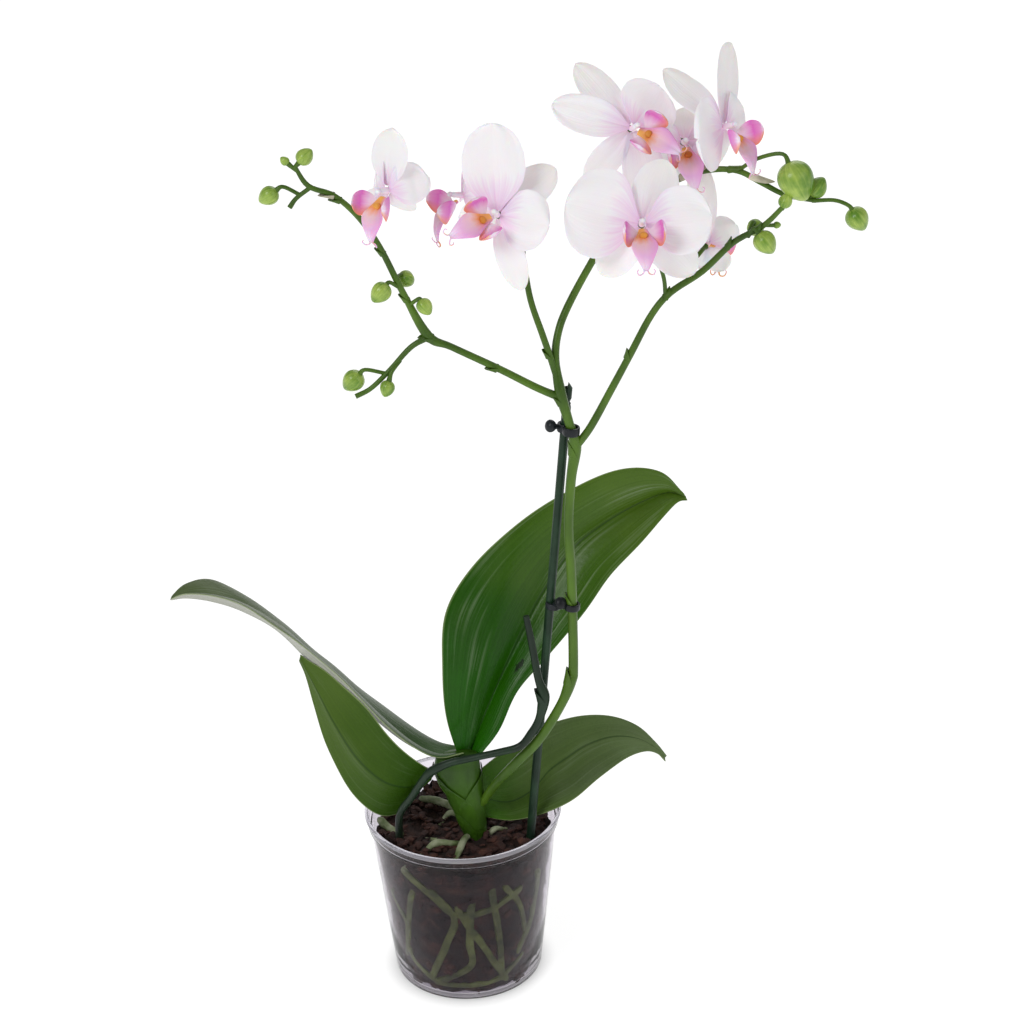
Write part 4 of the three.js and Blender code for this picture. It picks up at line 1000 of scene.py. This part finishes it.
flowerValues = {
    "thickness": 0.75, "lipThickness": 0.8, "lipScale": 1.5,
    # how far from the bloom's middle its blades begin, the depth of a midline's groove, and the ruffle's waves
    "heart": 1.9, "groove": 0.5, "waves": (1.6, 2.2),
    # how far a blade stands forward, its curl towards the tip, its dish across and its ruffle
    "sepalForm": (-1.5, -3, 0.8, 1.6), "petalForm": (1, -0.5, 2.2, 2.6),
    "sepal": [(0, 0.2), (0.12, 0.42), (0.28, 0.78), (0.45, 0.96), (0.6, 1.0), (0.75, 0.93), (0.86, 0.76), (0.93, 0.56),
              (0.98, 0.31), (1, 0.06)],
    "petal": [(0, 0.12), (0.09, 0.3), (0.2, 0.62), (0.34, 0.9), (0.5, 1.0), (0.68, 0.98), (0.82, 0.85), (0.91, 0.66),
              (0.97, 0.4), (0.99, 0.22), (1, 0.05)],
    # the lip's rows: middle, half width and dish, in millimetres before the scale
    "tongue": [((0, -1.7, 2.6), (1.5, 0, 0), (0, -0.2, 0)), ((0, -5, 6.2), (2.6, 0, 0), (0, 0.6, 0.5)),
               ((0, -9.4, 10.2), (4.9, 0, 0), (0, 1.4, -0.6)), ((0, -13.6, 11.4), (3.2, 0, 0), (0, 0.9, -0.8)),
               ((0, -17.4, 10.4), (0.8, 0, 0), (0, 0, 0))],
    "wing": [((1.2, -4.6, 4.2), (0, -1.2, 0.6), (0, 0, 0)), ((4.2, -4.2, 5.8), (0, -3.3, 1.2), (-0.4, 0, 0)),
             ((6.9, -3.8, 8.2), (0, -4.8, 0.8), (-0.9, 0, 0)), ((7.8, -3.2, 11), (0, -3.6, 0), (-0.9, 0, 0)),
             ((7.0, -2.8, 12.8), (0, -0.9, 0), (-0.3, 0, 0))],
    "crest": {"at": (0, -4.3, 6.4), "size": (1.5, 1.3, 1.3), "notch": 0.5},
    "column": {"middle": 3.2, "half": 5.9, "foot": 2.5, "taper": 0.09, "head": 0.5, "headFrom": 6.4, "bow": 0.16},
    "cap": {"at": (0, 1.5, 8.4), "size": (1.7, 1.5, 1.5)},
    # the way of a fine hook at the lip's tip: x, y, z and radius
    "hook": [(0.5, -16.8, 10.5, 0.55), (1.2, -18.2, 9.6, 0.42), (2.6, -18.6, 10.4, 0.36), (3.2, -17.4, 11.4, 0.3),
             (2.6, -16.6, 11.6, 0.22)],
}


def widthAt(outline, u):
    for (a, low), (b, high) in zip(outline, outline[1:]):
        if u <= b:
            w = (u - a) / (b - a)
            return low + (high - low) * w * (1.5 - 0.5 * w)
    return outline[-1][1]


def bloomPlace(bloom):
    z = Vector(bloom["face"]).normalized()
    x = Vector((0, 0, 1)).cross(z).normalized()
    y = z.cross(x)
    turn = Matrix((x, y, z)).transposed().to_4x4()
    return Matrix.Translation(Vector(bloom["at"])) @ turn


def tepal(kind, place, shape, seed):
    bearing, fold, length, half = shape
    layer, curl, dish, ruffle = flowerValues[kind + "Form"]
    turn, lean = radians(bearing), radians(fold)
    waves = flowerValues["waves"]

    def at(u, v):
        s = sin(v * pi / 2) ** 0.9
        side = 2 * u - 1
        wide = widthAt(flowerValues[kind], s)
        outward = length * (s - 0.1 * s * (1 - s) * side * side)
        bend = lean * min(1, 0.35 + s)
        rise = layer + curl * s * s + dish * side * side * wide * (1 - s) + outward * sin(bend)
        rise += ruffle * noise.noise(Vector((side * waves[0], s * waves[1], seed))) * s * (0.4 + abs(side))
        rise -= flowerValues["groove"] * exp(-(side * 7) ** 2) * (1 - s)
        reach = flowerValues["heart"] + outward * cos(bend)
        across = side * half * wide
        return place @ Vector((reach * cos(turn) + across * sin(turn),
                               reach * sin(turn) - across * cos(turn), rise))
    return thicken(shapedGrid(kind, 14, 20, at), flowerValues["thickness"], 0.55)


def column(place):
    values, cap = flowerValues["column"], flowerValues["cap"]

    def at(p):
        z = values["middle"] + p.z * values["half"]
        wide = values["foot"] - values["taper"] * (z + 3) + (values["head"] if z > values["headFrom"] else 0)
        return place @ Vector((p.x * wide, p.y * wide * 0.9 + values["bow"] * max(0, z), z))
    body = shapedBall("column", 20, 16, at)
    head = shapedBall("cap", 16, 10, lambda p: place @ (Vector(cap["at"]) + p * Vector(cap["size"])))
    return joinPieces("column", [body, head])


def rowsAt(rows, u, v, mirror):
    centre, half, dish = (splineAt([row[i] for row in rows], v) for i in range(3))
    side = 2 * u - 1
    p = centre + half * side + dish * side * side
    return Vector((p.x * mirror, p.y, p.z))


def lipPiece(name, bloom):
    turn = Matrix.Rotation(radians(bloom.get("lipTurn", 0)), 4, "Z")
    place = bloomPlace(bloom) @ turn @ Matrix.Scale(flowerValues["lipScale"], 4)
    seed = bloom["at"][0]

    def tongueAt(u, v):
        p = rowsAt(flowerValues["tongue"], u, v, 1)
        p.z += 0.5 * noise.noise(Vector((u * 3, v * 3, seed))) * v
        p.z -= flowerValues["groove"] * exp(-((u - 0.5) * 9) ** 2) * v
        return place @ p
    tongue = thicken(shapedGrid("tongue", 10, 16, tongueAt), flowerValues["lipThickness"], 0.6)
    wings = []
    for mirror in (1, -1):
        wing = shapedGrid("wing", 8, 12, lambda u, v: place @ rowsAt(flowerValues["wing"], u, v, mirror))
        wings.append(thicken(wing, flowerValues["lipThickness"] * 0.9, 0.6))

    crest = flowerValues["crest"]

    def crestAt(p):
        return place @ (Vector(crest["at"]) + p * Vector(crest["size"]) + Vector((0, 0, crest["notch"] * abs(p.x))))
    callus = shapedBall("callus", 16, 10, crestAt)
    tendrils = []
    for mirror in (1, -1):
        route = [(*(place @ Vector((x * mirror, y, z))), r) for x, y, z, r in flowerValues["hook"]]
        tendrils.append(tubes("tendril", [route], roundness=2, detail=4))
    for piece in (tongue, *tendrils):
        piece.data.materials.append(skins["tongue"])
    for piece in wings:
        piece.data.materials.append(skins["wing"])
    callus.data.materials.append(skins["callus"])
    return joinPieces(name, [tongue, *wings, callus, *tendrils])


def buildBloom(node, bloom):
    place = bloomPlace(bloom)
    seed = bloom["at"][0] * 0.37
    sepals = [tepal("sepal", place, shape, seed + i) for i, shape in enumerate(bloom["sepals"])]
    petals = [tepal("petal", place, shape, seed + 7 + i) for i, shape in enumerate(bloom["petals"])]
    dress(joinPieces(node + "_sepals", sepals), "sepal", "petal_white")
    dress(joinPieces(node + "_petals", petals), "petal", "petal_white", node)
    dress(joinPieces(node + "_column", [column(place)]), "column", "petal_white")
    dress(lipPiece(node + "_lip_lobes", bloom), None, "lip_magenta", node + "_lip")


for bloomName, bloomShape in bloomValues.items():
    buildBloom(bloomName, bloomShape)
print("blooms made")
